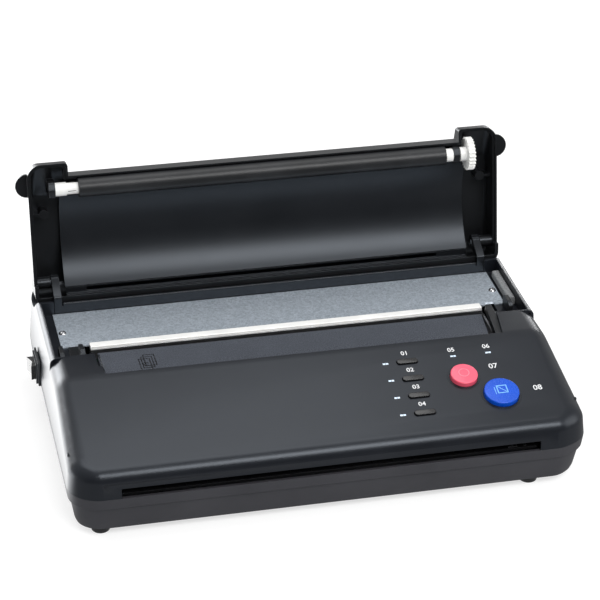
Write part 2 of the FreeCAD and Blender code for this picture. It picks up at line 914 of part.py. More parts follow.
def outer_housing(inset, low, nose_round, edge_round):
    """The body above the parting line: a leaning tray with a sloping panel and rounded nose."""
    top = rim_height - inset
    rise = rim_height - parting_height
    lean = front_draft * rise / (panel_front_height - parting_height)
    drop = (parting_height - low) / rise
    sides = Part.makeLoft(
        [
            footprint(inset - side_draft * drop, low, inset - lean * drop, inset - rear_draft * drop),
            footprint(inset + side_draft, rim_height, inset + lean, inset + rear_draft),
        ],
        True,
        True,
    )
    nose_y = front_draft + inset
    nose_z = panel_front_height - inset + panel_slope * inset
    foot_y = inset - lean * drop
    profile = [
        (foot_y, low, 0),
        (nose_y, nose_z, nose_round),
        (crest_setback, top, crest_round),
        (body_depth, top, 0),
        (body_depth, low, 0),
    ]
    body = sides.common(prism_x(profile, -half_width, half_width))
    if edge_round > 0:
        edges = [e for e in body.Edges if is_shoulder_edge(e)]
        body = body.makeFillet(edge_round, edges)
    return body


def shoulder_limit():
    """The space that keeps the housing's hollow away from its rounded shoulders."""
    side = half_width - wall
    top = rim_height - wall
    section = [(-side, -body_depth, 0), (-side, top, shoulder_inner_round),
               (side, top, shoulder_inner_round), (side, -body_depth, 0)]
    flat = prism_y(section, -body_depth, 2 * body_depth)
    tilted = flat.copy()
    tilted.rotate(Vector(0, crest_setback, top), X_AXIS, panel_angle)
    return flat.common(tilted)


def is_shoulder_edge(edge):
    """True for the long edges between the side walls and the top."""
    box = edge.BoundBox
    beside = abs(box.XMax) > half_width - 2 * side_draft and box.XLength < side_draft
    return beside and box.YLength > front_corner_radius and box.ZMin > parting_height + slot_height


def well_outline(grow):
    return [
        (-well_half_narrow - grow, well_front - grow, well_corner / 2),
        (well_right_side_front + grow, well_front - grow, 0),
        (well_right_side_rear + grow, well_right_front - grow, 0),
        (well_half_wide + grow, well_right_front - grow, well_corner / 2),
        (well_half_wide + grow, well_rear + grow, 0),
        (-well_half_wide - grow, well_rear + grow, 0),
        (-well_half_wide - grow, well_left_front - grow, well_corner),
        (-well_half_narrow - grow, well_left_front - grow, well_corner),
    ]


def right_side(y):
    """Where the recess's slanting right side stands at one distance from the front."""
    share = (y - well_front) / (well_right_front - well_front)
    return well_right_side_front + share * (well_right_side_rear - well_right_side_front)


def inlet_hole():
    return block(inlet_x - inlet_width / 2, inlet_x + inlet_width / 2, body_depth - rear_corner_radius,
                 body_depth + cut_overrun, inlet_height - inlet_tall / 2, inlet_height + inlet_tall / 2)


def key_places():
    return [(key_x, key_first_y - i * key_pitch) for i in range(key_count)]


def window_places():
    places = [(window_x, y) for _, y in key_places()]
    return places + [(power_window_x, status_window_y), (error_window_x, status_window_y)]


def oblong(length, width, low, high):
    corners = rounded_rectangle(-length / 2, length / 2, -width / 2, width / 2, width * vent_round_share)
    return prism_z(corners, low, high)


def panel_holes():
    depth = wall + cut_overrun
    holes = []
    for x, y in key_places():
        holes.append(on_panel(oblong(key_length + 2 * panel_gap, key_width + 2 * panel_gap, -depth,
                                     cut_overrun), x, y))
    for x, y in window_places():
        window = block(-window_length / 2, window_length / 2, -window_width / 2, window_width / 2,
                       -depth, cut_overrun)
        holes.append(on_panel(window, x, y))
    for x, y, radius in ((stop_x, stop_y, stop_radius), (copy_x, copy_y, copy_radius)):
        holes.append(on_panel(rod_z(radius + panel_gap, -depth, cut_overrun, 0, 0), x, y))
    return holes


def collars():
    """Thin raised rings round the two large keys and the small keys."""
    rings = []
    for x, y, radius in ((stop_x, stop_y, stop_radius), (copy_x, copy_y, copy_radius)):
        ring = rod_z(radius + panel_gap + collar_width, -wall / 2, collar_rise, 0, 0)
        ring = ring.cut(rod_z(radius + panel_gap, -wall, collar_rise + cut_overrun, 0, 0))
        rings.append(on_panel(ring, x, y))
    return rings


def build_keys():
    for i, (x, y) in enumerate(key_places()):
        cap = oblong(key_length, key_width, key_low, key_rise)
        flange = oblong(key_length + 2 * panel_gap + 2 * key_flange, key_width + 2 * panel_gap + 2 * key_flange,
                        key_low, key_low + key_flange_rise)
        key = merge([cap, flange])
        top = [e for e in key.Edges if e.BoundBox.ZMin > key_rise - running_clearance]
        key = key.makeFillet(key_rise / 3, top)
        keep("small_key_%d" % (i + 1), on_panel(key, x, y))
    for name, x, y, radius in (("stop_key", stop_x, stop_y, stop_radius),
                               ("copy_key", copy_x, copy_y, copy_radius)):
        top = round_key_rise
        profile = [(0, key_low, 0), (radius + panel_gap + key_flange, key_low, 0),
                   (radius + panel_gap + key_flange, key_low + key_flange_rise, 0),
                   (radius, key_low + key_flange_rise, 0),
                   (radius, top, round_key_edge), (0, top, 0)]
        path = rounded_path(profile, lambda u, v: Vector(u, 0, v))
        key = Part.Face(path).revolve(Vector(0, 0, 0), Z_AXIS, 360)
        keep(name, on_panel(key, x, y))


def build_windows():
    panes = []
    for x, y in window_places():
        pane = block(-window_length / 2 + running_clearance, window_length / 2 - running_clearance,
                     -window_width / 2 + running_clearance, window_width / 2 - running_clearance,
                     -wall - window_thickness, 0)
        foot = block(-window_length / 2 - window_thickness, window_length / 2 + window_thickness,
                     -window_width / 2 - window_thickness, window_width / 2 + window_thickness,
                     -wall - 2 * window_thickness, -wall - running_clearance)
        panes.append(on_panel(merge([pane, foot]), x, y))
    keep("indicator_windows", Part.makeCompound(panes))


def build_control_board():
    low = key_low - control_board_drop
    middle_x = (control_board_left + control_board_right) / 2
    middle_y = (control_board_front + control_board_rear) / 2
    half_x = (control_board_right - control_board_left) / 2
    half_y = (control_board_rear - control_board_front) / 2
    board = prism_z(rounded_rectangle(-half_x, half_x, -half_y, half_y, front_draft), low,
                    low + board_thickness)
    keep("control_board", on_panel(board, middle_x, middle_y))
    switches = []
    for x, y in key_places() + [(stop_x, stop_y), (copy_x, copy_y)]:
        base = block(-switch_size / 2, switch_size / 2, -switch_size / 2, switch_size / 2,
                     low + board_thickness, low + board_thickness + switch_height)
        stem = rod_z(switch_size / 4, low + board_thickness, key_low - round_key_travel - piece_clearance, 0, 0)
        switches.append(on_panel(merge([base, stem]), x, y))
    keep("key_switches", Part.makeCompound(switches))
    posts = []
    for x in (-half_x + standoff_inset, half_x - standoff_inset):
        for y in (-half_y + standoff_inset, half_y - standoff_inset):
            post = rod_z(standoff_radius, low + board_thickness, -wall / 2, x, y)
            posts.append(on_panel(post, middle_x, middle_y))
    nodes["upper_housing"] = nodes["upper_housing"].fuse(posts)


def cover_solid(inset, low):
    """The cover as a closed block, or its hollow when drawn in by a wall."""
    side = cover_half_width - inset
    front_centre = hinge_setback - cover_front + inset
    front_ear = hinge_setback - cover_ear_front + inset
    back = hinge_setback + barrel_radius + cut_overrun
    ear_inner = cover_half_width - cover_ear_width + inset
    crown = cover_crown_height - inset
    crown_y = hinge_setback - cover_crown_reach
    top_rear = cover_top_rear - inset
    turn = max(cover_front_round - inset, running_clearance)
    slope = (cover_crown_height - cover_tip_height) / (cover_ear_front - cover_crown_reach)

    def profile(front):
        return [(front, low, 0), (front, crown - slope * (crown_y - front), turn),
                (crown_y, crown, cover_crown_round - inset), (hinge_setback, top_rear, 0),
                (hinge_setback, low, 0)]

    ear_round = cover_ear_inner_round
    plan = prism_z(
        [
            (-side, front_ear, cover_corner_round - inset),
            (-ear_inner, front_ear, ear_round),
            (-ear_inner, front_centre, 0),
            (ear_inner, front_centre, 0),
            (ear_inner, front_ear, ear_round),
            (side, front_ear, cover_corner_round - inset),
            (side, back - cut_overrun - inset, cover_corner_round - inset),
            (-side, back - cut_overrun - inset, cover_corner_round - inset),
        ],
        low - barrel_radius,
        top_rear + cut_overrun,
    )
    span = prism_x(profile(front_centre), -side, side)
    ears = prism_x(profile(front_ear), -side, -ear_inner)
    ears = ears.fuse(prism_x(profile(front_ear), ear_inner, side))
    barrel = rod_x(barrel_radius - inset, -side, side, hinge_setback, hinge_height)
    section = [(-side, low - barrel_radius, 0), (-side, top_rear, cover_side_round - inset),
               (side, top_rear, cover_side_round - inset), (side, low - barrel_radius, 0)]
    round_top = prism_y(section, front_ear - cut_overrun, back)
    section = [(-side, -body_depth, 0), (-side, crown, cover_side_round - inset),
               (side, crown, cover_side_round - inset), (side, -body_depth, 0)]
    round_tip = prism_y(section, -body_depth, 2 * body_depth)
    round_tip.rotate(Vector(0, crown_y, crown), X_AXIS, math.degrees(math.atan(slope)))
    solid = span.fuse([ears, barrel])
    return solid.common(plan).common(round_top).common(round_tip)


def build_cover():
    lip_low = hinge_height - barrel_lip_drop
    outer = cover_solid(0, rim_height)
    inner = cover_solid(cover_wall, rim_height - cut_overrun)
    shell = outer.cut(inner)
    far = cover_half_width + cut_overrun
    below = block(-far, far, 0, hinge_setback, 0, rim_height)
    lip_cut = block(-far, far, 0, body_depth + barrel_radius, 0, lip_low)
    shell = shell.cut([below, lip_cut])
    rabbet = cover_solid(rabbet_wall, rim_height - cut_overrun)
    rabbet = rabbet.common(block(-far, far, 0, hinge_setback, 0, rim_height + rabbet_depth))
    shell = shell.cut(rabbet)
    extras = []
    cuts = []
    for sign in (-1, 1):
        cheek = sign * (cover_half_width - cover_wall / 2)
        boss_end = sign * (hinge_pin_start + hinge_arm_thickness + hinge_boss_gap)
        x0, x1 = min(cheek, boss_end), max(cheek, boss_end)
        extras.append(rod_x(hinge_boss_radius, x0, x1, hinge_setback, hinge_height))
        boss_x = sign * catch_boss_half_gap
        boss_y = hinge_setback - catch_boss_reach
        roof = cover_crown_height - cover_wall / 2
        extras.append(rod_z(catch_boss_radius, rim_height + catch_boss_length, roof, boss_x, boss_y))
        bridge = (min(boss_x, cheek), max(boss_x, cheek))
        extras.append(block(bridge[0], bridge[1], boss_y - pillar_rib / 2, boss_y + pillar_rib / 2,
                            rim_height + catch_boss_length, roof))
        tab_x = sign * cover_half_width
        tab_y = hinge_setback - tab_reach
        tab = rod_z(tab_radius, rim_height + tab_rise, rim_height + tab_rise + tab_thickness, tab_x, tab_y)
        middle = block(-cover_half_width + cover_wall / 2, cover_half_width - cover_wall / 2, 0, body_depth,
                       0, cover_top_rear)
        extras.append(tab.cut(middle))
    within = cover_solid(cover_wall / 2, rim_height - cut_overrun)
    for x in bracket_spans():
        for y in bracket_rib_places():
            rib = block(x[0], x[1], y - pillar_rib / 2, y + pillar_rib / 2,
                        platen_z + bracket_foot, cover_crown_height)
            extras.append(rib.common(within))
    shell = shell.fuse(extras)
    bore_end = hinge_pin_start + hinge_arm_thickness
    cuts.append(rod_x(platen_radius + platen_relief, platen_left - cut_overrun, platen_right + cut_overrun,
                      platen_y, platen_z))
    for sign in (-1, 1):
        x0 = sign * (bore_end - cut_overrun)
        x1 = sign * (cover_half_width - cover_wall)
        cuts.append(rod_x(hinge_pin_radius + running_clearance, min(x0, x1), max(x0, x1),
                          hinge_setback, hinge_height))
    shell = shell.cut(cuts)
    keep("cover_shell", open_cover(shell))


def bracket_spans():
    return ((bracket_left_outer, bracket_left_inner), (bracket_right_inner, bracket_right_outer))


def bracket_rib_places():
    return (platen_y - bracket_width / 2 + pillar_rib, platen_y + bracket_width / 2 - pillar_rib)


def liner_height(reach, depth):
    return hinge_setback - reach, rim_height + depth


def build_liner():
    low = liner_height(liner_low_reach, liner_low_depth)
    mid = liner_height(liner_mid_reach, liner_mid_depth)
    high = liner_height(liner_high_reach, liner_high_depth)

    def lifted(point, rise):
        return Vector(-liner_half_width, point[0], point[1] + rise)

    under = Part.Arc(lifted(low, 0), lifted(mid, 0), lifted(high, 0)).toShape()
    over = Part.Arc(lifted(low, liner_thickness), lifted(mid, liner_thickness),
                    lifted(high, liner_thickness)).toShape()
    wire = Part.Wire([under, Part.makeLine(lifted(high, 0), lifted(high, liner_thickness)), over,
                      Part.makeLine(lifted(low, liner_thickness), lifted(low, 0))])
    sheet = Part.Face(wire).extrude(Vector(2 * liner_half_width, 0, 0))
    keep("cover_liner", open_cover(sheet.cut(gear_relief())))


def gear_relief():
    """Room for the platen's gear, while the cover is shut."""
    tip = gear_module * (platen_teeth / 2 + tooth_addendum_share) + relief_play
    return rod_x(tip, gear_inner - relief_play, gear_outer + relief_play, platen_y, platen_z)


def build_cover_rail():
    y0 = hinge_setback - rail_reach - rail_width
    y1 = hinge_setback - rail_reach
    z = rim_height + rail_depth
    plate = block(-rail_half_width, rail_half_width, y0, y1, z, z + rail_thickness)
    lip = block(-rail_half_width, rail_half_width, y1 - rail_thickness, y1, z - rail_lip, z + rail_thickness)
    slot = prism_z(rounded_rectangle(rail_slot_left, rail_slot_right, y0 + rail_slot_width / 2,
                                     y0 + rail_slot_width / 2 + rail_slot_width, rail_slot_width * vent_round_share),
                   z - rail_lip, z + rail_thickness + cut_overrun)
    rail = merge([plate, lip]).cut(slot)
    ends = []
    inside = barrel_radius - cover_wall - piece_clearance
    for sign in (-1, 1):
        x0, x1 = sorted((sign * rail_half_width, sign * (rail_half_width - rail_thickness)))
        end = block(x0, x1, y0, y1, z, hinge_height + inside)
        ends.append(end.common(rod_x(inside, x0, x1, hinge_setback, hinge_height)))
    keep("cover_rail", open_cover(merge([rail] + ends)))


def build_brackets():
    """Bearing brackets that carry the platen bushes, hung from the cover's roof."""
    for name, span, end_wall in (("platen_bracket_left", bracket_spans()[0], bracket_end_wall),
                                 ("platen_bracket_right", bracket_spans()[1], -cut_overrun)):
        half = bracket_width / 2
        profile = [
            (platen_y - half, platen_z + bracket_foot, 0),
            (platen_y - half, platen_z - shaft_radius, half / 2),
            (platen_y, platen_z - half + shaft_radius / 2, half / 2),
            (platen_y + half, platen_z - shaft_radius, half / 2),
            (platen_y + half, platen_z + bracket_foot, 0),
        ]
        cheek = prism_x(profile, span[0], span[1])
        bracket = cheek.cut(rod_x(bush_sleeve_radius, span[0] + end_wall, span[1] + cut_overrun,
                                  platen_y, platen_z))
        keep(name, open_cover(bracket))


def build_bushes():
    bore = shaft_radius + running_clearance
    left = merge([
        rod_x(bush_sleeve_radius, bush_left_outer, bush_left_inner, platen_y, platen_z),
        rod_x(bush_collar_radius, bracket_left_inner, bush_left_step, platen_y, platen_z),
    ])
    left = left.cut(rod_x(bore, bush_left_outer - shaft_radius, bush_left_inner + cut_overrun,
                          platen_y, platen_z))
    right = merge([
        rod_x(bush_sleeve_radius, bush_right_inner, bracket_right_outer, platen_y, platen_z),
        rod_x(bush_collar_radius, bush_right_inner, bush_right_outer, platen_y, platen_z),
    ])
    right = right.cut(rod_x(bore, bush_right_inner - cut_overrun, bracket_right_outer + cut_overrun,
                            platen_y, platen_z))
    keep("platen_bushes", open_cover(Part.makeCompound([left, right])))


def build_platen():
    rubber = rod_x(platen_radius, platen_left, platen_right, platen_y, platen_z)
    rubber = rubber.cut(rod_x(shaft_radius, platen_left - cut_overrun, platen_right + cut_overrun,
                              platen_y, platen_z))
    keep("platen_rubber", open_cover(rubber))
    keep("platen_shaft", open_cover(rod_x(shaft_radius, shaft_left, shaft_right, platen_y, platen_z)))
    wheel = gear(platen_teeth, platen_phase, platen_y, platen_z, shaft_radius)
    hub = rod_x(hub_radius, hub_right_inner, gear_inner, platen_y, platen_z)
    hub = hub.cut(rod_x(shaft_radius, hub_right_inner - cut_overrun, gear_inner + cut_overrun,
                        platen_y, platen_z))
    keep("platen_gear", open_cover(merge([wheel, hub])))


def lip_corner(radius):
    """Where an edge of the barrel's lip stands while the cover is open."""
    turn = -math.asin(barrel_lip_drop / radius) - math.radians(open_angle)
    return hinge_setback + radius * math.cos(turn), hinge_height + radius * math.sin(turn)


def build_hinge_arms():
    """Rear rail with its bright bead, and the two arms that carry the cover's pins."""
    back = well_rear + strip_thickness
    profile = [(well_rear, strip_foot, 0), (back, strip_foot, 0), (back, strip_top, strip_bead),
               (well_rear, strip_top, strip_bead)]
    rail = prism_x(profile, -strip_half_width, strip_half_width)
    foot = block(-strip_half_width, strip_half_width, well_rear, back + strip_thickness,
                 strip_foot, strip_foot + strip_thickness)
    sweep = rod_x(barrel_radius + swing_clearance, -half_width, half_width, hinge_setback, hinge_height)
    rail = merge([rail, foot]).cut(sweep)
    pieces = [rail]
    outer_y, outer_z = lip_corner(barrel_radius)
    inner_y, inner_z = lip_corner(barrel_radius - cover_wall)
    for sign in (-1, 1):
        x0 = sign * hinge_pin_start
        x1 = sign * (hinge_pin_start + hinge_arm_thickness)
        low, high = min(x0, x1), max(x0, x1)
        arm = prism_x(
            [
                (well_rear, strip_foot, 0),
                (well_rear + strip_thickness, strip_foot, 0),
                (well_rear + strip_thickness, strip_top - strip_thickness, 0),
                (outer_y - swing_clearance, outer_z, 0),
                (inner_y - swing_clearance, inner_z + swing_clearance, 0),
                (inner_y + swing_clearance, inner_z + swing_clearance, 0),
                (hinge_setback - hinge_arm_radius / 2, hinge_height - hinge_arm_radius + hinge_arm_drop, 0),
                (hinge_setback, hinge_height - hinge_arm_radius, 0),
                (hinge_setback, hinge_height + hinge_arm_radius, 0),
                (well_rear, inner_z + hinge_arm_radius / 2, strip_thickness),
            ],
            low,
            high,
        )
        eye = rod_x(hinge_arm_radius, low, high, hinge_setback, hinge_height)
        arm = arm.fuse(eye)
        arm = arm.cut(rod_x(hinge_pin_radius, low - cut_overrun, high + cut_overrun,
                            hinge_setback, hinge_height))
        link = block(min(sign * (strip_half_width - wall), x1), max(sign * (strip_half_width - wall), x1),
                     well_rear, well_rear + strip_thickness, strip_foot, strip_top - strip_thickness)
        pieces.append(arm)
        pieces.append(link.cut(sweep))
    keep("hinge_rail", merge(pieces))
    pins = []
    for sign in (-1, 1):
        x0 = sign * hinge_pin_start
        x1 = sign * (cover_half_width - cover_wall - piece_clearance)
        pins.append(rod_x(hinge_pin_radius, min(x0, x1), max(x0, x1), hinge_setback, hinge_height))
    keep("hinge_pins", Part.makeCompound(pins))


def build_plate():
    plate = prism_z([(-plate_half_width, plate_front, 0), (plate_half_width, plate_front, 0),
                     (plate_half_width, plate_rear, 0), (-plate_half_width, plate_rear, 0)],
                    ledge_top, plate_top)
    lip = block(-head_half_width, head_half_width, plate_front, plate_front + plate_thickness,
                ledge_top - plate_lip + plate_thickness, plate_top)
    plate = merge([plate, lip])
    holes = []
    for sign in (-1, 1):
        holes.append(rod_z(plate_screw_radius, ledge_top - cut_overrun, plate_top + cut_overrun,
                           sign * plate_screw_x, plate_screw_y))
    holes.append(gear_relief())
    keep("head_plate", plate.cut(holes))
    screws = []
    for sign in (-1, 1):
        x = sign * plate_screw_x
        shank = rod_z(plate_screw_radius - running_clearance, ledge_top - ledge_thickness, plate_top,
                      x, plate_screw_y)
        dome = Part.makeSphere(plate_screw_head, Vector(x, plate_screw_y, plate_top - plate_screw_rise))
        dome = dome.common(rod_z(plate_screw_head, plate_top, plate_top + 2 * plate_screw_rise,
                                 x, plate_screw_y))
        cross = merge([
            block(x - plate_screw_head / 2, x + plate_screw_head / 2,
                  plate_screw_y - plate_screw_slot / 2, plate_screw_y + plate_screw_slot / 2,
                  plate_top + plate_screw_rise / 2, plate_top + 2 * plate_screw_rise),
            block(x - plate_screw_slot / 2, x + plate_screw_slot / 2,
                  plate_screw_y - plate_screw_head / 2, plate_screw_y + plate_screw_head / 2,
                  plate_top + plate_screw_rise / 2, plate_top + 2 * plate_screw_rise)])
        screws.append(shank.fuse(dome).cut(cross).removeSplitter())
    keep("plate_screws", Part.makeCompound(screws))


def build_head():
    low = head_top - head_thickness
    substrate = block(-head_half_width, head_half_width, head_front, head_rear, low, head_top)
    line = rod_x(glaze_radius, -head_half_width, head_half_width, platen_y, head_top - glaze_radius / 2)
    keep("thermal_head", merge([substrate, line]))
    sink_low = low - sink_height
    pieces = [block(-head_half_width, head_half_width, sink_front, head_rear, sink_low, low)]
    pitch = (head_rear - sink_front - fin_thickness) / (fin_count - 1)
    for i in range(fin_count):
        y = sink_front + i * pitch
        pieces.append(block(-head_half_width, head_half_width, y, y + fin_thickness,
                            sink_low - fin_depth, sink_low))
    keep("head_heat_sink", merge(pieces))
    web = block(-frame_inner, frame_inner, beam_front, beam_rear, beam_height, beam_height + beam_thickness)
    front = block(-frame_inner, frame_inner, beam_front, beam_front + beam_thickness,
                  beam_height - beam_flange, beam_height)
    rear = block(-frame_inner, frame_inner, beam_rear - beam_thickness, beam_rear,
                 beam_height - beam_flange, beam_height)
    keep("head_beam", merge([web, front, rear]))
    leaves = []
    bottom = beam_height + beam_thickness
    top = sink_low - fin_depth
    middle_y = (beam_front + beam_rear) / 2
    for x in (-leaf_x, 0, leaf_x):
        half = leaf_length / 2
        profile = [
            (x - half, bottom, 0), (x - half + leaf_foot, bottom, 0),
            (x - leaf_foot / 2, top - leaf_thickness, 0),
            (x + leaf_foot / 2, top - leaf_thickness, 0),
            (x + half - leaf_foot, bottom, 0), (x + half, bottom, 0),
            (x + half, bottom + leaf_thickness, 0),
            (x + half - leaf_foot, bottom + leaf_thickness, 0),
            (x + leaf_foot / 2, top, 0), (x - leaf_foot / 2, top, 0),
            (x - half + leaf_foot, bottom + leaf_thickness, 0),
            (x - half, bottom + leaf_thickness, 0),
        ]
        leaves.append(prism_y(profile, middle_y - leaf_width / 2, middle_y + leaf_width / 2))
    keep("head_leaf_springs", Part.makeCompound(leaves))


def build_guide():
    drop = guide_thickness
    profile = [
        (guide_front, guide_front_height - drop, 0), (guide_rear, guide_rear_height - drop, 0),
        (guide_rear, guide_rear_height, 0), (guide_front, guide_front_height, 0)]
    sheet = prism_x(profile, -guide_half_width, guide_half_width)
    legs = []
    for sign in (-1, 1):
        x0 = sign * (guide_half_width - guide_leg_thickness)
        x1 = sign * guide_half_width
        legs.append(prism_x(
            [
                (guide_front, guide_front_height - guide_leg_height, 0),
                (guide_rear, guide_rear_height - guide_leg_height, 0),
                (guide_rear, guide_rear_height - drop / 2, 0),
                (guide_front, guide_front_height - drop / 2, 0),
            ], min(x0, x1), max(x0, x1)))
    sheet = merge([sheet] + legs)
    high = guide_front_height + cut_overrun
    low = guide_rear_height - guide_leg_height - cut_overrun
    left = block(-guide_half_width - cut_overrun, -guide_half_width + guide_notch_left_width,
                 guide_notch_left_front, guide_notch_left_rear, guide_rear_height - 2 * drop, high)
    right = prism_z(
        [
            (guide_half_width - guide_notch_right_width, guide_front - cut_overrun, 0),
            (guide_half_width + cut_overrun, guide_front - cut_overrun, 0),
            (guide_half_width + cut_overrun, guide_notch_right_rear, 0),
            (guide_half_width, guide_notch_right_rear, 0),
        ], low, high)
    keep("entry_guide", sheet.cut([left, right]))


def build_latches():
    """Fixed snap hooks, small guide clips and the foam pad along the well."""
    for name, x, front in (("latch_hook_left", hook_left_x, hook_left_front),
                           ("latch_hook_right", hook_right_x, hook_right_front)):
        x0 = x - hook_thickness / 2
        x1 = x + hook_thickness / 2
        rear = front + hook_length
        neck = hook_height - hook_thickness
        profile = [
            (front + hook_thickness / 2, ledge_top, 0), (rear - hook_thickness / 2, ledge_top, 0),
            (rear, neck, hook_thickness), (rear - hook_thickness, hook_height, hook_thickness / 3),
            (front + hook_thickness, hook_height, hook_thickness), (front, neck, hook_thickness),
        ]
        keep(name, prism_x(profile, x0, x1))
    x0 = clip_left_x - clip_width / 2
    x1 = clip_left_x + clip_width / 2
    profile = [
        (clip_front, clip_top - clip_width, 0), (clip_front + clip_width, clip_top, 0),
        (clip_rear, clip_top - clip_width, 0), (clip_rear, ledge_top, 0), (clip_front, ledge_top, 0)]
    foot = block(ledge_side_width - well_half_wide - clip_width, x1, clip_front, clip_rear, ledge_top,
                 ledge_top + clip_width / 2)
    keep("edge_clip_left", merge([prism_x(profile, x0, x1), foot]))
    plan = [
        (right_side(arm_front) - arm_width, arm_front, 0), (right_side(arm_front), arm_front, 0),
        (well_right_side_rear, well_right_front, 0), (well_right_side_rear, arm_rear, 0),
        (well_right_side_rear - arm_width, arm_rear, 0)]
    keep("edge_clip_right", prism_z(plan, arm_bottom, arm_top))
    x1 = well_half_wide - running_clearance
    pad = prism_y(rounded_rectangle(x1 - pad_width, x1, ledge_top, ledge_top + pad_height, pad_width / 4),
                  pad_front, pad_rear)
    keep("rest_pad", pad)


def frame_profile():
    low = floor_top
    return [
        (frame_front, low, 0), (frame_rear, low, 0), (frame_rear, frame_top, frame_corner),
        (frame_nose_rear, frame_top, frame_corner), (frame_nose_rear - frame_corner, frame_nose_top, 0),
        (frame_front, frame_nose_top, frame_corner)]


def build_frames():
    for name, sign in (("side_frame_left", -1), ("side_frame_right", 1)):
        x0, x1 = sorted((sign * frame_inner, sign * frame_outer))
        plate = prism_x(frame_profile(), x0, x1)
        foot_x = sign * (frame_inner - frame_foot_width)
        foot = block(min(foot_x, sign * frame_inner), max(foot_x, sign * frame_inner), frame_front + frame_corner,
                     frame_rear - frame_corner, floor_top, floor_top + frame_thickness)
        frame = merge([plate, foot])
        holes = [
            rod_x(scan_bush_radius, x0 - cut_overrun, x1 + cut_overrun, scan_gear_y, scan_gear_z),
            prism_x(rounded_rectangle(frame_rear - 6 * frame_corner, frame_rear - 2 * frame_corner,
                                      floor_top + 2 * frame_corner, frame_top - 2 * frame_corner, frame_corner),
                    x0 - cut_overrun, x1 + cut_overrun),
        ]
        if sign > 0:
            holes.append(rod_x(motor_boss_radius, x0 - cut_overrun, x1 + cut_overrun, motor_y, motor_z))
        keep(name, frame.cut(holes))


def build_gears():
    bore = gear_stud_radius + running_clearance
    keep("drive_gear", gear(drive_teeth, drive_phase, drive_y, drive_z, bore))
    for i, (y, z, phase) in enumerate(idlers):
        keep("idler_gear_%d" % (i + 1), gear(idler_teeth, phase, y, z, bore))
    keep("motor_pinion", merge([
        gear(motor_teeth, motor_phase, motor_y, motor_z, motor_shaft_radius),
        rod_x(motor_shaft_radius, motor_face - motor_boss_length, gear_outer, motor_y, motor_z)]))
    studs = []
    for y, z in [(drive_y, drive_z)] + [(y, z) for y, z, _ in idlers]:
        end = gear_outer + gear_side_play
        stud = rod_x(gear_stud_radius, frame_outer, end + gear_stud_lip, y, z)
        head = rod_x(gear_stud_head, end, end + gear_stud_lip, y, z)
        collar = rod_x(gear_stud_head, frame_outer, gear_inner - gear_side_play, y, z)
        studs.append(merge([stud, head, collar]))
    keep("gear_studs", Part.makeCompound(studs))
    half = motor_size / 2
    case = prism_x(rounded_rectangle(motor_y - half, motor_y + half, motor_z - half, motor_z + half,
                                     motor_corner), motor_face - motor_length, motor_face)
    boss = rod_x(motor_boss_radius - running_clearance, motor_face, motor_face + motor_boss_length,
                 motor_y, motor_z)
    hole = rod_x(motor_shaft_radius + running_clearance, motor_face - motor_boss_length - piece_clearance,
                 motor_face + motor_boss_length + cut_overrun, motor_y, motor_z)
    keep("drive_motor", merge([case, boss]).cut(hole))


def build_scanner():
    body = block(-sensor_half, sensor_half, sensor_front, sensor_front + sensor_depth, sensor_base,
                 sensor_base + sensor_height)
    channel = block(-sensor_half + wall, sensor_half - wall, sensor_front + 3 * wall,
                    sensor_front + sensor_depth - 3 * wall, sensor_base + wall, sensor_base + sensor_height)
    keep("scan_sensor", body.cut(channel))
    keep("scan_glass", block(-sensor_half, sensor_half, sensor_front + wall / 2,
                             sensor_front + sensor_depth - wall / 2, sensor_base + sensor_height, glass_top))
    roller = rod_x(scan_roller_radius, -scan_roller_half, scan_roller_half, scan_gear_y, scan_gear_z)
    roller = roller.cut(rod_x(shaft_radius, -scan_roller_half - cut_overrun, scan_roller_half + cut_overrun,
                              scan_gear_y, scan_gear_z))
    keep("scan_roller", roller)
    shaft = rod_x(shaft_radius, scan_shaft_left, gear_outer, scan_gear_y, scan_gear_z)
    keep("scan_shaft", shaft)
    keep("scan_gear", gear(scan_teeth, scan_phase, scan_gear_y, scan_gear_z, shaft_radius))
    bushes = []
    for sign in (-1, 1):
        x0, x1 = sorted((sign * (frame_inner - scan_bush_lip), sign * (frame_outer + running_clearance)))
        sleeve = rod_x(scan_bush_radius, x0, x1, scan_gear_y, scan_gear_z)
        f0, f1 = sorted((sign * (frame_inner - scan_bush_lip), sign * frame_inner))
        flange = rod_x(scan_bush_flange, f0, f1, scan_gear_y, scan_gear_z)
        bush = merge([sleeve, flange])
        bushes.append(bush.cut(rod_x(shaft_radius + running_clearance, x0 - cut_overrun, x1 + cut_overrun,
                                     scan_gear_y, scan_gear_z)))
    keep("scan_bushes", Part.makeCompound(bushes))
    top = paper_path
    pieces = []
    ends = sensor_front - piece_clearance
    pieces.append(block(-table_half, table_half, table_front, ends, top - table_thickness, top))
    for i in range(table_rib_count):
        x = (i - (table_rib_count - 1) / 2) * 2 * (table_half - table_rib_thickness) / (table_rib_count - 1)
        pieces.append(prism_x([(table_front, top - table_rib_height / 4, 0),
                               (table_front + wall, top + table_rib_height, 0),
                               (ends, top + table_rib_height, 0), (ends, top - table_rib_height / 4, 0)],
                              x - table_rib_thickness / 2, x + table_rib_thickness / 2))
    keep("paper_table", merge(pieces))


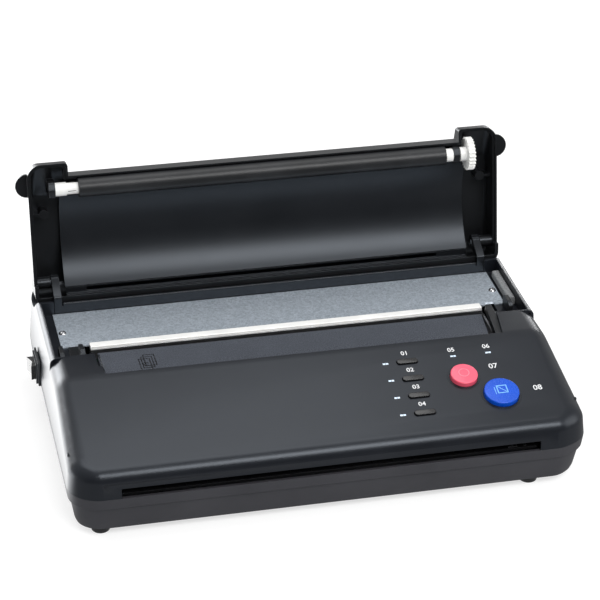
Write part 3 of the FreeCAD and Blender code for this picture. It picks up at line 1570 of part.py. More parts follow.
def build_flag():
    """The paper sensor's flag: it hangs in the front slot and swings back when paper comes."""
    x0 = flag_x - flag_width / 2
    x1 = flag_x + flag_width / 2
    hub = rod_x(flag_hub_radius, x0, x1, flag_y, flag_pin_height)
    tip = flag_pin_height - flag_length
    arm = prism_x([(flag_y - flag_hub_radius / 2, flag_pin_height, 0), (flag_y - flag_hub_radius / 2, tip, 0),
                   (flag_y + flag_hub_radius / 3, tip, 0), (flag_y + flag_hub_radius / 2, flag_pin_height, 0)],
                  x0 + flag_width / 4, x1 - flag_width / 4)
    hole = rod_x(flag_pin_radius + running_clearance, x0 - cut_overrun, x1 + cut_overrun, flag_y,
                 flag_pin_height)
    keep("paper_flag", merge([hub, arm]).cut(hole))
    pin = rod_x(flag_pin_radius, x0 - flag_ear, x1 + flag_ear, flag_y, flag_pin_height)
    keep("flag_pin", pin)
    ears = []
    for a, b in ((x0 - flag_ear, x0 - piece_clearance), (x1 + piece_clearance, x1 + flag_ear)):
        roof = panel_height(flag_y) - wall
        ear = block(a, b, flag_y - flag_hub_radius, flag_y + flag_hub_radius,
                    flag_pin_height - flag_hub_radius, roof)
        ears.append(ear.cut(rod_x(flag_pin_radius, a - cut_overrun, b + cut_overrun, flag_y,
                                  flag_pin_height)))
    nodes["upper_housing"] = nodes["upper_housing"].fuse(ears)


def board(x0, x1, y0, y1):
    return block(x0, x1, y0, y1, board_height, board_height + board_thickness)


def build_boards():
    top = board_height + board_thickness
    main = [board(main_board_left, main_board_right, main_board_front, board_rear)]
    x0, y0 = main_board_left, main_board_front
    width = main_board_right - x0
    depth = board_rear - y0
    chip_place_shares = ((0.30, 0.50, 0.14, 0.30), (0.62, 0.42, 0.10, 0.22))
    plug_place_shares = ((0.82, 0.60, 0.08, 0.34), (0.50, 0.86, 0.40, 0.10), (0.10, 0.60, 0.06, 0.50))
    for shares, height in ((chip_place_shares, chip_height), (plug_place_shares, plug_height)):
        for u, v, w, d in shares:
            x = x0 + u * width
            y = y0 + v * depth
            main.append(block(x - w * width / 2, x + w * width / 2, y - d * depth / 2, y + d * depth / 2,
                              top, top + height))
    keep("main_board", merge(main))
    supply = [board(power_board_left, power_board_right, power_board_front, board_rear)]
    x0, y0 = power_board_left, power_board_front
    width = power_board_right - x0
    depth = board_rear - y0
    block_shares = ((0.42, 0.66, 0.25, 0.75), (0.72, 0.76, 0.20, 0.80))
    for u0, u1, v0, v1 in block_shares:
        supply.append(block(x0 + u0 * width, x0 + u1 * width, y0 + v0 * depth, y0 + v1 * depth, top,
                            top + transformer_height))
    can_shares = ((0.16, 0.30, 0.10), (0.16, 0.66, 0.10), (0.88, 0.30, 0.05), (0.88, 0.66, 0.05))
    for u, v, r in can_shares:
        supply.append(rod_z(r * depth, top, top + capacitor_height, x0 + u * width, y0 + v * depth))
    keep("power_supply", merge(supply))


def build_switch():
    x_out = -half_width - rocker_frame_thickness
    x_face = -half_width
    y0, y1 = rocker_frame_front, rocker_frame_rear
    z0, z1 = rocker_frame_bottom, rocker_frame_top
    flange = block(x_out + rocker_frame_step, x_face, y0, y1, z0, z1)
    step = block(x_out, x_face, y0 + rocker_frame_step, y1 - rocker_frame_step, z0 + rocker_frame_step,
                 z1 - rocker_frame_step)
    gap = piece_clearance
    sleeve = block(x_face - cut_overrun, x_face + rocker_body_depth - gap, y0 + rocker_bezel + gap,
                   y1 - rocker_bezel - gap, z0 + rocker_bezel + gap, z1 - rocker_bezel - gap)
    frame = merge([flange, step, sleeve])
    inner = rocker_bezel + rocker_frame_step
    cavity = block(x_out - cut_overrun, x_face + rocker_body_depth / 2, y0 + inner, y1 - inner, z0 + inner,
                   z1 - inner)
    frame = frame.cut(cavity)
    pin_y = (y0 + y1) / 2
    pin_z = (z0 + z1) / 2
    pin_x = x_face + rocker_frame_thickness
    frame = frame.cut(Part.makeCylinder(rocker_pin_radius + running_clearance,
                                        z1 - z0 - 2 * inner + 2 * rocker_frame_step,
                                        Vector(pin_x, pin_y, z0 + inner - rocker_frame_step), Z_AXIS))
    keep("switch_frame", frame)
    half = (y1 - y0) / 2 - inner - 2 * gap
    reach = x_out - rocker_proud - pin_x
    lean = math.radians(rocker_tilt)
    crest = half * math.tan(lean)
    corners = [(reach - crest / 2, -half, 0), (reach + crest, 0, 0), (reach - crest / 2, half, 0),
               (0, half * paddle_side_share, 0), (rocker_back, 0, 0), (0, -half * paddle_side_share, 0)]
    paddle = prism_z(corners, z0 + inner + gap, z1 - inner - gap)
    pin = rod_z(rocker_pin_radius, z0 + inner - rocker_frame_step + gap,
                z1 - inner + rocker_frame_step - gap, 0, 0)
    rocker = merge([paddle, pin])
    rocker.rotate(Vector(0, 0, 0), Z_AXIS, rocker_tilt / 2)
    rocker.translate(Vector(pin_x, pin_y, 0))
    keep("power_rocker", rocker)


def build_inlet():
    lowest = inlet_height - inlet_tall / 2 - inlet_flange
    y_face = body_depth - rear_draft * (lowest - parting_height) / (rim_height - parting_height)
    gap = running_clearance
    w, h = inlet_width / 2, inlet_tall / 2
    flange = prism_y(rounded_rectangle(inlet_x - w - inlet_flange, inlet_x + w + inlet_flange,
                                       inlet_height - h - inlet_flange, inlet_height + h + inlet_flange,
                                       inlet_flange), y_face + gap, y_face + inlet_flange_thickness)
    body = block(inlet_x - w + gap, inlet_x + w - gap, y_face - inlet_depth, y_face + inlet_flange_thickness,
                 inlet_height - h + gap, inlet_height + h - gap)
    socket = prism_y(
        [
            (inlet_x - w + inlet_wall, inlet_height - h + inlet_wall, 0),
            (inlet_x + w - inlet_wall, inlet_height - h + inlet_wall, 0),
            (inlet_x + w - inlet_wall, inlet_height + h - inlet_wall, inlet_corner),
            (inlet_x - w + inlet_wall, inlet_height + h - inlet_wall, inlet_corner),
        ], y_face - inlet_depth + inlet_wall, y_face + inlet_flange_thickness + cut_overrun)
    shell = merge([flange, body]).cut(socket)
    pins = []
    for i in (-1, 0, 1):
        x = inlet_x + i * inlet_pin_spacing
        z = inlet_height + (inlet_pin_length / 2 if i == 0 else -inlet_pin_length / 4)
        pins.append(block(x - inlet_pin_width / 2, x + inlet_pin_width / 2, y_face - inlet_depth,
                          y_face - inlet_depth + inlet_pin_reach, z - inlet_pin_length / 2,
                          z + inlet_pin_length / 2))
    keep("power_inlet", merge([shell] + pins))


# Gear places: from the shut platen down to the motor, and forward to the scan roller
platen_phase = drive_gear_angle
drive_y, drive_z = mesh_position(platen_y, platen_z, platen_teeth, drive_teeth, drive_gear_angle)
drive_phase = mesh_phase(platen_teeth, platen_phase, drive_teeth, drive_gear_angle)
idler_y, idler_z = mesh_position(drive_y, drive_z, drive_teeth, idler_teeth, idler_angle)
idler_phase = mesh_phase(drive_teeth, drive_phase, idler_teeth, idler_angle)
motor_y, motor_z = mesh_position(idler_y, idler_z, idler_teeth, motor_teeth, motor_gear_angle)
motor_phase = mesh_phase(idler_teeth, idler_phase, motor_teeth, motor_gear_angle)
motor_face = frame_inner
chain_reach = gear_module * (idler_teeth / 2 + 2 * idler_teeth + scan_teeth / 2)
chain_rise = scan_roller_height - idler_z
chain_angle = 180.0 - math.degrees(math.asin(chain_rise / chain_reach))
idlers = [(idler_y, idler_z, idler_phase)]
for step in range(2):
    near_y, near_z, near_phase = idlers[-1]
    next_y, next_z = mesh_position(near_y, near_z, idler_teeth, idler_teeth, chain_angle)
    idlers.append((next_y, next_z, mesh_phase(idler_teeth, near_phase, idler_teeth, chain_angle)))
last_y, last_z, last_phase = idlers[-1]
scan_gear_y, scan_gear_z = mesh_position(last_y, last_z, idler_teeth, scan_teeth, chain_angle)
scan_phase = mesh_phase(idler_teeth, last_phase, scan_teeth, chain_angle)

build_base()
build_feet()
build_base_screws()
build_housing()
build_keys()
build_windows()
build_control_board()
build_cover()
build_liner()
build_cover_rail()
build_brackets()
build_bushes()
build_platen()
build_hinge_arms()
build_plate()
build_head()
build_guide()
build_latches()
build_frames()
build_gears()
build_scanner()
build_flag()
build_boards()
build_switch()
build_inlet()

whole = Part.makeCompound(list(nodes.values())).BoundBox
setback = (whole.YMin + whole.YMax) / 2
os.makedirs("parts", exist_ok=True)
for name, shape in nodes.items():
    placed = shape.copy()
    placed.translate(Vector(0, -setback, 0))
    placed.exportStep("parts/%s.step" % name)
print("nodes", len(nodes))
print("setback", round(setback, 3), "box", whole)
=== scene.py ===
"""Thermal stencil copier with an open cover: studio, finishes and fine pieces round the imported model.

Sizes and places are in millimetres, places from the front face, unless a docstring says metres.
"""

import json
import logging
import math
from dataclasses import dataclass, field
from enum import Enum

import bmesh
import bpy
from mathutils import Matrix, Vector
from mathutils.bvhtree import BVHTree

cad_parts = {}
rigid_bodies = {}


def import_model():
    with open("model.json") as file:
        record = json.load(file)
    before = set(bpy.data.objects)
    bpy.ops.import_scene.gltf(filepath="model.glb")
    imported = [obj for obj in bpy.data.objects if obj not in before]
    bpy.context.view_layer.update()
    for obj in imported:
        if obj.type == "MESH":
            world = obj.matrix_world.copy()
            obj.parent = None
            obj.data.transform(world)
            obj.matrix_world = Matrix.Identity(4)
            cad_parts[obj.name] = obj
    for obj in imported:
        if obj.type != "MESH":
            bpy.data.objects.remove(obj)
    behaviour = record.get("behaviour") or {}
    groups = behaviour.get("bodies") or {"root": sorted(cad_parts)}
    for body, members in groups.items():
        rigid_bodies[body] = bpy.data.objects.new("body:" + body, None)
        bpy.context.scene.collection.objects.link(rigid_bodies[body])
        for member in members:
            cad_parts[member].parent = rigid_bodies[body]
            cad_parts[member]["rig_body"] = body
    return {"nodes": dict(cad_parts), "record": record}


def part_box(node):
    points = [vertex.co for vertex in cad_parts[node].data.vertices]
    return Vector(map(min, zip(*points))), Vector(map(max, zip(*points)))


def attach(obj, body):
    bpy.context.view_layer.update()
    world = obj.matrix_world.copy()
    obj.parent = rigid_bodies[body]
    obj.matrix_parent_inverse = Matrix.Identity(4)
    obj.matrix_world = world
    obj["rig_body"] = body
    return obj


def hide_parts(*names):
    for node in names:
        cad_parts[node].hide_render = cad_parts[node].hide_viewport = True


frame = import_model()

Pair = tuple[float, float]
Colour = tuple[float, float, float]
Point = tuple[float, float, float]
Fade = tuple[float, float, float, float]

LOG = logging.getLogger("copier")
MM = 0.001
SETBACK = 137.738  # how far the front face lies before the frame's origin
WHITE: Colour = (1.0, 1.0, 1.0)
SHEEN_TINT: Colour = (0.84, 0.91, 1.0)
EVEN: Point = (1.0, 1.0, 1.0)
MIDDLE = 0.5  # of a pattern that runs from zero to one
RUN_UP = 20.0  # how far outside a piece's box a line starts that looks for its surface
EDGE_SAMPLES = 4  # rays that find the softened edge of a surface
MIX_FIRST, MIX_SECOND, MIX_RESULT = 6, 7, 2  # a Mix node's two colour inputs and its colour output
ACROSS = Vector((1.0, 0.0, 0.0))
INWARD = Vector((0.0, 1.0, 0.0))
UPWARD = Vector((0.0, 0.0, 1.0))
DOWN = Vector((0.0, 0.0, -1.0))


def at(x: float, y: float, z: float) -> Vector:
    """A place given in millimetres from the front face, in the frame's metres."""
    return Vector((x, y - SETBACK, z)) * MM


def shade(colour: Colour, factor: float, lift: float = 0.0) -> Colour:
    """A colour made lighter or deeper by a factor and a lift."""
    return tuple(min(1.0, part * factor + lift) for part in colour)


class Ray(Enum):
    """The kinds of ray that the studio tells apart."""

    CAMERA = "Is Camera Ray"
    GLOSS = "Is Glossy Ray"
    THROUGH = "Is Transmission Ray"


class Signal:
    """A number on its way through a shader, which Python's operators turn into Math nodes."""

    def __init__(self, tree: "Tree", socket: bpy.types.NodeSocket) -> None:
        """Wraps a socket.

        Args:
            tree: the node tree that holds the socket.
            socket: the output that carries the value.
        """
        self.tree = tree
        self.socket = socket

    def _math(self, kind: str, *values: "Signal | float") -> "Signal":
        """Adds one Math node and returns its result."""
        return self.tree.node("ShaderNodeMath", {"operation": kind}, dict(enumerate(values)))

    def __add__(self, other: "Signal | float") -> "Signal":
        """Sum."""
        return self._math("ADD", self, other)

    def __radd__(self, other: float) -> "Signal":
        """Sum with a number on the left."""
        return self._math("ADD", other, self)

    def __sub__(self, other: "Signal | float") -> "Signal":
        """Difference."""
        return self._math("SUBTRACT", self, other)

    def __rsub__(self, other: float) -> "Signal":
        """Difference with a number on the left."""
        return self._math("SUBTRACT", other, self)

    def __mul__(self, other: "Signal | float") -> "Signal":
        """Product."""
        return self._math("MULTIPLY", self, other)

    def __rmul__(self, other: float) -> "Signal":
        """Product with a number on the left."""
        return self._math("MULTIPLY", other, self)

    def __gt__(self, other: "Signal | float") -> "Signal":
        """One where this is larger, else zero."""
        return self._math("GREATER_THAN", self, other)

    def larger(self, other: "Signal | float") -> "Signal":
        """The larger of both."""
        return self._math("MAXIMUM", self, other)

    def swing(self, strength: float) -> "Signal":
        """A pattern's spread about its middle, at a strength."""
        return (self - MIDDLE) * strength

    def ramp(self, ends: Pair) -> "Signal":
        """Maps the low and the high end onto zero and one, and keeps it there."""
        inputs = {"Value": self, "From Min": ends[0], "From Max": ends[1]}
        return self.tree.node("ShaderNodeMapRange", {"clamp": True}, inputs)

    def fade(self, ends: Fade) -> "Signal":
        """A soft step, given by where it starts and ends and the strengths there."""
        inputs = {"Value": self, **dict(zip(("From Min", "From Max", "To Min", "To Max"), ends))}
        return self.tree.node("ShaderNodeMapRange", {"interpolation_type": "SMOOTHSTEP"}, inputs)

    def level(self, first: "Signal | float", second: "Signal | float") -> "Signal":
        """A number between two, with this as the factor."""
        return self.tree.node("ShaderNodeMix", {}, {"Factor": self, "A": first, "B": second}, "Result")

    def between(self, first: "Signal", second: "Signal") -> "Signal":
        """A mix of two shaders, with this as the factor."""
        return self.tree.node("ShaderNodeMixShader", {}, dict(enumerate((self, first, second))))


class Tree:
    """A node tree, built through one method for any node."""

    def __init__(self, tree: bpy.types.NodeTree) -> None:
        """Takes a node tree and empties it.

        Args:
            tree: the node tree of a material or a world.
        """
        self.tree = tree
        self.tree.nodes.clear()

    def _feed(self, socket: bpy.types.NodeSocket, value: object) -> None:
        """Links a signal to an input, or sets the input's own value.

        Args:
            socket: the input.
            value: a signal, a number, a direction or a colour.
        """
        if isinstance(value, Signal):
            self.tree.links.new(value.socket, socket)
        elif socket.type == "RGBA":
            socket.default_value = (*value, 1.0)
        else:
            socket.default_value = value

    def add(self, kind: str, settings: dict[str, object] | None = None,
            inputs: dict[str | int, object] | None = None) -> bpy.types.Node:
        """Adds a node.

        Args:
            kind: the node's type.
            settings: attributes to set first.
            inputs: values or signals of its sockets, by name or number.

        Returns:
            The node.
        """
        made = self.tree.nodes.new(kind)
        for key, value in (settings or {}).items():
            setattr(made, key, value)
        for key, value in (inputs or {}).items():
            self._feed(made.inputs[key], value)
        return made

    def node(self, kind: str, settings: dict[str, object] | None = None,
             inputs: dict[str | int, object] | None = None, out: str | int = 0) -> Signal:
        """Adds a node and returns one of its outputs, by name or number."""
        return Signal(self, self.add(kind, settings, inputs).outputs[out])

    def ray(self, kind: Ray) -> Signal:
        """One for rays of a kind, else zero."""
        return self.node("ShaderNodeLightPath", out=kind.value)

    def direct(self) -> Signal:
        """One for the rays that look straight or through glass at the background."""
        return self.ray(Ray.CAMERA).larger(self.ray(Ray.THROUGH))

    def axis(self, space: str, name: str) -> Signal:
        """One direction of a kind of coordinates."""
        coords = self.node("ShaderNodeTexCoord", out=space)
        return self.node("ShaderNodeSeparateXYZ", {}, {"Vector": coords}, name)


@dataclass(frozen=True)
class Cloud:
    """A cloudy pattern: the size of a cloud, the octaves in it, their strength and its stretch."""

    cell: float
    detail: float = 2.0
    roughness: float = 0.5
    stretch: Point = EVEN


class Shader(Tree):
    """A material with a Principled shader, and the patterns that feed it."""

    def __init__(self, name: str) -> None:
        """Makes an empty material.

        Args:
            name: the material's name.
        """
        self.material = bpy.data.materials.new(name)
        self.material.use_nodes = True
        super().__init__(self.material.node_tree)
        self._coords: Signal | None = None

    def place(self, scale: Point) -> Signal:
        """Object coordinates, stretched by a scale.

        Args:
            scale: the scale of each direction.

        Returns:
            The coordinates.
        """
        if self._coords is None:
            self._coords = self.node("ShaderNodeTexCoord", out="Object")
        return self.node("ShaderNodeMapping", {}, {"Vector": self._coords, "Scale": scale})

    def noise(self, cloud: Cloud) -> Signal:
        """Cloudy noise.

        Args:
            cloud: its pattern.

        Returns:
            The noise, from zero to one.
        """
        return self.node("ShaderNodeTexNoise", {"noise_dimensions": "3D"},
                         {"Vector": self.place(cloud.stretch), "Scale": 1.0 / (cloud.cell * MM),
                          "Detail": cloud.detail, "Roughness": cloud.roughness})

    def cells(self, cell: float, stretch: Point = EVEN) -> Signal:
        """Random grey value of each Voronoi cell.

        Args:
            cell: size of a cell.
            stretch: scale of each direction.

        Returns:
            The grey value, from zero to one.
        """
        colour = self.node("ShaderNodeTexVoronoi", {"feature": "F1"},
                           {"Vector": self.place(stretch), "Scale": 1.0 / (cell * MM)}, "Color")
        return self.node("ShaderNodeSeparateColor", {}, {"Color": colour}, "Red")

    def blend(self, factor: Signal, first: Colour, second: Colour) -> Signal:
        """A colour between two, by a factor."""
        return self.node("ShaderNodeMix", {"data_type": "RGBA"},
                         {"Factor": factor, MIX_FIRST: first, MIX_SECOND: second}, MIX_RESULT)

    def bump(self, height: Signal, depth: float, edge: float = 0.0) -> Signal:
        """A normal from a height.

        Args:
            height: the height, from zero to one.
            depth: how far one stands above zero.
            edge: radius that sharp edges seem to be broken by.

        Returns:
            The normal.
        """
        inputs: dict[str | int, object] = {"Height": height, "Distance": depth * MM}
        if edge > 0:
            inputs["Normal"] = self.node("ShaderNodeBevel", {"samples": EDGE_SAMPLES}, {"Radius": edge * MM})
        return self.node("ShaderNodeBump", {}, inputs, "Normal")

    def finish(self, **sockets: object) -> bpy.types.Material:
        """Adds the Principled shader, feeds its sockets and ends the material.

        Args:
            sockets: values by socket name, with _ for a space.

        Returns:
            The material.
        """
        inputs = {key.replace("_", " "): value for key, value in sockets.items()}
        surface = self.node("ShaderNodeBsdfPrincipled", {}, inputs, "BSDF")
        self.add("ShaderNodeOutputMaterial", {}, {"Surface": surface})
        return self.material


@dataclass(frozen=True)
class MouldedPlastic:
    """Plastic from a spark-eroded mould: a fine even grain with faint clouds in its gloss."""

    name: str
    colour: Colour
    roughness: float = 0.42
    grain: float = 0.55
    depth: float = 0.012
    edge: float = 0.45
    grain_strength: float = 0.6
    grain_gloss: float = 0.06
    cloud: Cloud = Cloud(46.0, 3.0, 0.55)
    cloud_ends: Pair = (0.3, 0.7)
    cloud_gloss: float = 0.05
    cloud_factor: float = 1.22
    cloud_lift: float = 0.002

    def make(self) -> bpy.types.Material:
        """Builds the material.

        Returns:
            The material.
        """
        shader = Shader(self.name)
        grain = shader.noise(Cloud(self.grain, roughness=self.grain_strength))
        clouds = shader.noise(self.cloud)
        lighter = shade(self.colour, self.cloud_factor, self.cloud_lift)
        return shader.finish(
            Base_Color=shader.blend(clouds.ramp(self.cloud_ends), self.colour, lighter),
            Roughness=self.roughness + clouds.swing(self.cloud_gloss) + grain.swing(self.grain_gloss),
            Specular_Tint=SHEEN_TINT,
            Normal=shader.bump(grain, self.depth, self.edge),
        )


@dataclass(frozen=True)
class PolishedPlastic:
    """Smooth glossy plastic with faint flow marks and a clear skin."""

    name: str
    colour: Colour
    roughness: float = 0.16
    coat: float = 0.4
    glow: float = 0.0
    coat_roughness: float = 0.08
    flow: Cloud = Cloud(18.0)
    flow_ends: Pair = (0.25, 0.75)
    flow_factor: float = 0.88
    flow_depth: float = 0.02
    dust: Cloud = Cloud(0.8, roughness=0.6)
    dust_ends: Pair = (0.45, 0.8)
    dust_gloss: float = 0.07
    edge: float = 0.3

    def make(self) -> bpy.types.Material:
        """Builds the material.

        Returns:
            The material.
        """
        shader = Shader(self.name)
        flow = shader.noise(self.flow)
        dust = shader.noise(self.dust)
        deeper = shade(self.colour, self.flow_factor)
        return shader.finish(
            Base_Color=shader.blend(flow.ramp(self.flow_ends), deeper, self.colour),
            Roughness=self.roughness + dust.ramp(self.dust_ends) * self.dust_gloss,
            Coat_Weight=self.coat,
            Coat_Roughness=self.coat_roughness,
            Emission_Color=self.colour,
            Emission_Strength=self.glow,
            Normal=shader.bump(flow, self.flow_depth, self.edge),
        )


@dataclass(frozen=True)
class Rubber:
    """Ground rubber: matt, with fine turned scratches round the x axis."""

    name: str
    colour: Colour
    roughness: float = 0.6
    turned: Cloud = Cloud(0.35, 2.0, 0.6, (1.0, 0.12, 0.12))
    turned_gloss: float = 0.14
    turned_depth: float = 0.01
    bloom: Cloud = Cloud(30.0, 3.0, 0.6)
    bloom_ends: Pair = (0.35, 0.75)
    bloom_factor: float = 1.5
    bloom_lift: float = 0.004
    edge: float = 0.4

    def make(self) -> bpy.types.Material:
        """Builds the material.

        Returns:
            The material.
        """
        shader = Shader(self.name)
        turned = shader.noise(self.turned)
        bloom = shader.noise(self.bloom)
        lighter = shade(self.colour, self.bloom_factor, self.bloom_lift)
        return shader.finish(
            Base_Color=shader.blend(bloom.ramp(self.bloom_ends), self.colour, lighter),
            Roughness=self.roughness + turned.swing(self.turned_gloss),
            Normal=shader.bump(turned, self.turned_depth, self.edge),
        )


@dataclass(frozen=True)
class Galvanised:
    """Hot-dipped sheet: small spangles with a fine drawn grain."""

    name: str
    dark: Colour = (0.24, 0.28, 0.33)
    light: Colour = (0.68, 0.75, 0.82)
    large: float = 1.9
    small: float = 0.8
    drawn: Cloud = Cloud(0.9, 3.0, 0.7)
    spangle_share: float = 0.35
    drawn_share: float = 0.3
    metallic: float = 0.6
    roughness: float = 0.40
    dull: float = 0.2
    depth: float = 0.02
    edge: float = 0.2

    def make(self) -> bpy.types.Material:
        """Builds the material.

        Returns:
            The material.
        """
        shader = Shader(self.name)
        large = shader.cells(self.large)
        small = shader.cells(self.small)
        drawn = shader.noise(self.drawn)
        mixed = large * self.spangle_share + small * self.spangle_share + drawn * self.drawn_share
        return shader.finish(
            Base_Color=shader.blend(mixed, self.dark, self.light),
            Metallic=self.metallic,
            Roughness=self.roughness + (1.0 - mixed) * self.dull,
            Normal=shader.bump(mixed, self.depth, self.edge),
        )


@dataclass(frozen=True)
class DrawnMetal:
    """Metal with a drawn or turned grain along one axis."""

    name: str
    colour: Colour
    roughness: float = 0.28
    grain: Cloud = Cloud(0.3, 3.0, 0.6, (0.05, 1.0, 1.0))
    grain_gloss: float = 0.16
    grain_depth: float = 0.006
    stain: Cloud = Cloud(12.0, 3.0, 0.6)
    stain_ends: Pair = (0.3, 0.7)
    stain_factor: float = 0.8

    def make(self) -> bpy.types.Material:
        """Builds the material.

        Returns:
            The material.
        """
        shader = Shader(self.name)
        grain = shader.noise(self.grain)
        stain = shader.noise(self.stain)
        darker = shade(self.colour, self.stain_factor)
        return shader.finish(
            Base_Color=shader.blend(stain.ramp(self.stain_ends), darker, self.colour),
            Metallic=1.0,
            Roughness=self.roughness + grain.swing(self.grain_gloss),
            Normal=shader.bump(grain, self.grain_depth),
        )


@dataclass(frozen=True)
class WhiteNylon:
    """White engineering plastic with a dull even skin."""

    name: str
    colour: Colour = (0.90, 0.90, 0.88)
    roughness: float = 0.42
    cloud: Cloud = Cloud(5.0)
    cloud_ends: Pair = (0.3, 0.7)
    cloud_factor: float = 0.93
    fine: Cloud = Cloud(0.4, roughness=0.6)
    fine_gloss: float = 0.1
    fine_depth: float = 0.008
    edge: float = 0.2

    def make(self) -> bpy.types.Material:
        """Builds the material.

        Returns:
            The material.
        """
        shader = Shader(self.name)
        cloud = shader.noise(self.cloud)
        fine = shader.noise(self.fine)
        deeper = shade(self.colour, self.cloud_factor)
        return shader.finish(
            Base_Color=shader.blend(cloud.ramp(self.cloud_ends), deeper, self.colour),
            Roughness=self.roughness + fine.swing(self.fine_gloss),
            Normal=shader.bump(fine, self.fine_depth, self.edge),
        )


@dataclass(frozen=True)
class Foam:
    """Open-celled foam strip."""

    name: str
    colour: Colour = (0.30, 0.31, 0.32)
    roughness: float = 0.9
    pore: float = 0.7
    pore_factor: float = 0.55
    pore_depth: float = 0.1

    def make(self) -> bpy.types.Material:
        """Builds the material.

        Returns:
            The material.
        """
        shader = Shader(self.name)
        pores = shader.cells(self.pore)
        return shader.finish(
            Base_Color=shader.blend(pores, shade(self.colour, self.pore_factor), self.colour),
            Roughness=self.roughness,
            Normal=shader.bump(pores, self.pore_depth),
        )


@dataclass(frozen=True)
class CircuitBoard:
    """Lacquered board with faint tracks."""

    name: str
    colour: Colour = (0.02, 0.12, 0.05)
    roughness: float = 0.35
    track: float = 2.2
    track_stretch: Point = (0.3, 1.0, 1.0)
    track_share: float = 0.6
    track_factor: float = 1.8
    track_depth: float = 0.03

    def make(self) -> bpy.types.Material:
        """Builds the material.

        Returns:
            The material.
        """
        shader = Shader(self.name)
        tracks = shader.cells(self.track, self.track_stretch)
        lighter = shade(self.colour, self.track_factor)
        return shader.finish(
            Base_Color=shader.blend(tracks > self.track_share, self.colour, lighter),
            Roughness=self.roughness,
            Normal=shader.bump(tracks, self.track_depth),
        )


@dataclass(frozen=True)
class ClearGlass:
    """Clear scanner glass under a faint film."""

    name: str
    colour: Colour = (0.75, 0.82, 0.82)
    roughness: float = 0.03
    film: Cloud = Cloud(9.0)
    film_gloss: float = 0.04
    bending: float = 1.5
    clear: float = 0.85

    def make(self) -> bpy.types.Material:
        """Builds the material.

        Returns:
            The material.
        """
        shader = Shader(self.name)
        return shader.finish(
            Base_Color=self.colour,
            Roughness=self.roughness + shader.noise(self.film) * self.film_gloss,
            IOR=self.bending,
            Transmission_Weight=self.clear,
        )


class Finish(Enum):
    """Each finish of the copier."""

    SHELL = MouldedPlastic("satin_black_shell", (0.0066, 0.0076, 0.0105), 0.32, 0.5, 0.007)
    # painted reflection: the base tray's black is lightened to stand in for the floor's sheen on its front
    # band
    BASE = MouldedPlastic("satin_black_base_painted_sheen", (0.0340, 0.0330, 0.0375), 0.42, 0.5, 0.008)
    COVER = MouldedPlastic("satin_black_cover", (0.0050, 0.0052, 0.0058), 0.32, 0.5, 0.006)
    LINER = MouldedPlastic("satin_black_liner", (0.0060, 0.0068, 0.0085), 0.34, 0.35, 0.004)
    RAIL = MouldedPlastic("black_rail", (0.0060, 0.0066, 0.0080), 0.24, 0.45, 0.004, edge=0.9)
    FITTING = MouldedPlastic("black_fitting", (0.0055, 0.0055, 0.0060), 0.40, 0.45, 0.008, edge=0.25)
    RUBBER = Rubber("black_rubber", (0.009, 0.0098, 0.0115), 0.42)
    GALVANISED = Galvanised("galvanised_plate")
    STEEL = DrawnMetal("plated_steel", (0.55, 0.56, 0.58), 0.22)
    FRAME = DrawnMetal("frame_steel", (0.42, 0.43, 0.45), 0.38)
    ALUMINIUM = DrawnMetal("sink_aluminium", (0.58, 0.59, 0.60), 0.36)
    BRASS = DrawnMetal("brass", (0.62, 0.45, 0.18), 0.25)
    CERAMIC = PolishedPlastic("white_ceramic", (0.93, 0.93, 0.91), 0.22, 0.3)
    SMOKED = PolishedPlastic("smoked_sheet", (0.075, 0.083, 0.100), 0.26, 0.2)
    FOAM = Foam("grey_foam")
    NYLON = WhiteNylon("white_nylon")
    BOARD = CircuitBoard("circuit_board")
    GLASS = ClearGlass("scanner_glass")
    SWITCH = MouldedPlastic("switch_black", (0.012, 0.012, 0.012), 0.5)
    WINDOW = PolishedPlastic("pale_window", (0.62, 0.74, 0.88), 0.2, 0.5, 0.25)
    GLOSS = PolishedPlastic("gloss_black", (0.009, 0.009, 0.0095), 0.14, 0.6)
    KEY = PolishedPlastic("key_black", (0.008, 0.008, 0.009), 0.24, 0.3)
    RED = PolishedPlastic("key_red", (0.95, 0.115, 0.19), 0.30, 0.35)
    RED_LIGHT = PolishedPlastic("key_red_engraving", (1.0, 0.34, 0.42), 0.35, 0.1)
    BLUE = PolishedPlastic("key_blue", (0.001, 0.080, 0.60), 0.26, 0.1)
    BLUE_LIGHT = PolishedPlastic("key_blue_engraving", (0.22, 0.55, 1.0), 0.35, 0.1)
    MARK = PolishedPlastic("white_print", (0.80, 0.81, 0.82), 0.45, 0.0)
    DARK_MARK = PolishedPlastic("dark_print", (0.006, 0.006, 0.008), 0.45, 0.0)


MADE: dict[Finish, bpy.types.Material] = {}

SLOT_FINISH: dict[str, Finish] = {
    "black_shell": Finish.SHELL, "black_liner": Finish.LINER, "black_rubber": Finish.RUBBER,
    "zinc_steel": Finish.GALVANISED, "black_fitting": Finish.FITTING, "bright_steel": Finish.STEEL,
    "frame_steel": Finish.FRAME, "white_ceramic": Finish.CERAMIC, "sink_aluminium": Finish.ALUMINIUM,
    "smoked_sheet": Finish.SMOKED, "grey_foam": Finish.FOAM, "white_plastic": Finish.NYLON,
    "brass_wheel": Finish.BRASS, "black_wheel": Finish.FITTING, "sensor_glass": Finish.GLASS,
    "green_board": Finish.BOARD, "switch_black": Finish.SWITCH, "window_light": Finish.WINDOW,
    "gloss_black": Finish.GLOSS, "key_black": Finish.KEY, "key_red": Finish.RED, "key_blue": Finish.BLUE,
}

NODE_FINISH: dict[str, Finish] = {
    "cover_shell": Finish.COVER, "hinge_rail": Finish.RAIL, "base_tray": Finish.BASE,
    "cover_rail": Finish.RAIL,
}


def material(finish: Finish) -> bpy.types.Material:
    """The material of a finish, built once.

    Args:
        finish: the finish.

    Returns:
        The material.
    """
    if finish not in MADE:
        MADE[finish] = finish.value.make()
    return MADE[finish]


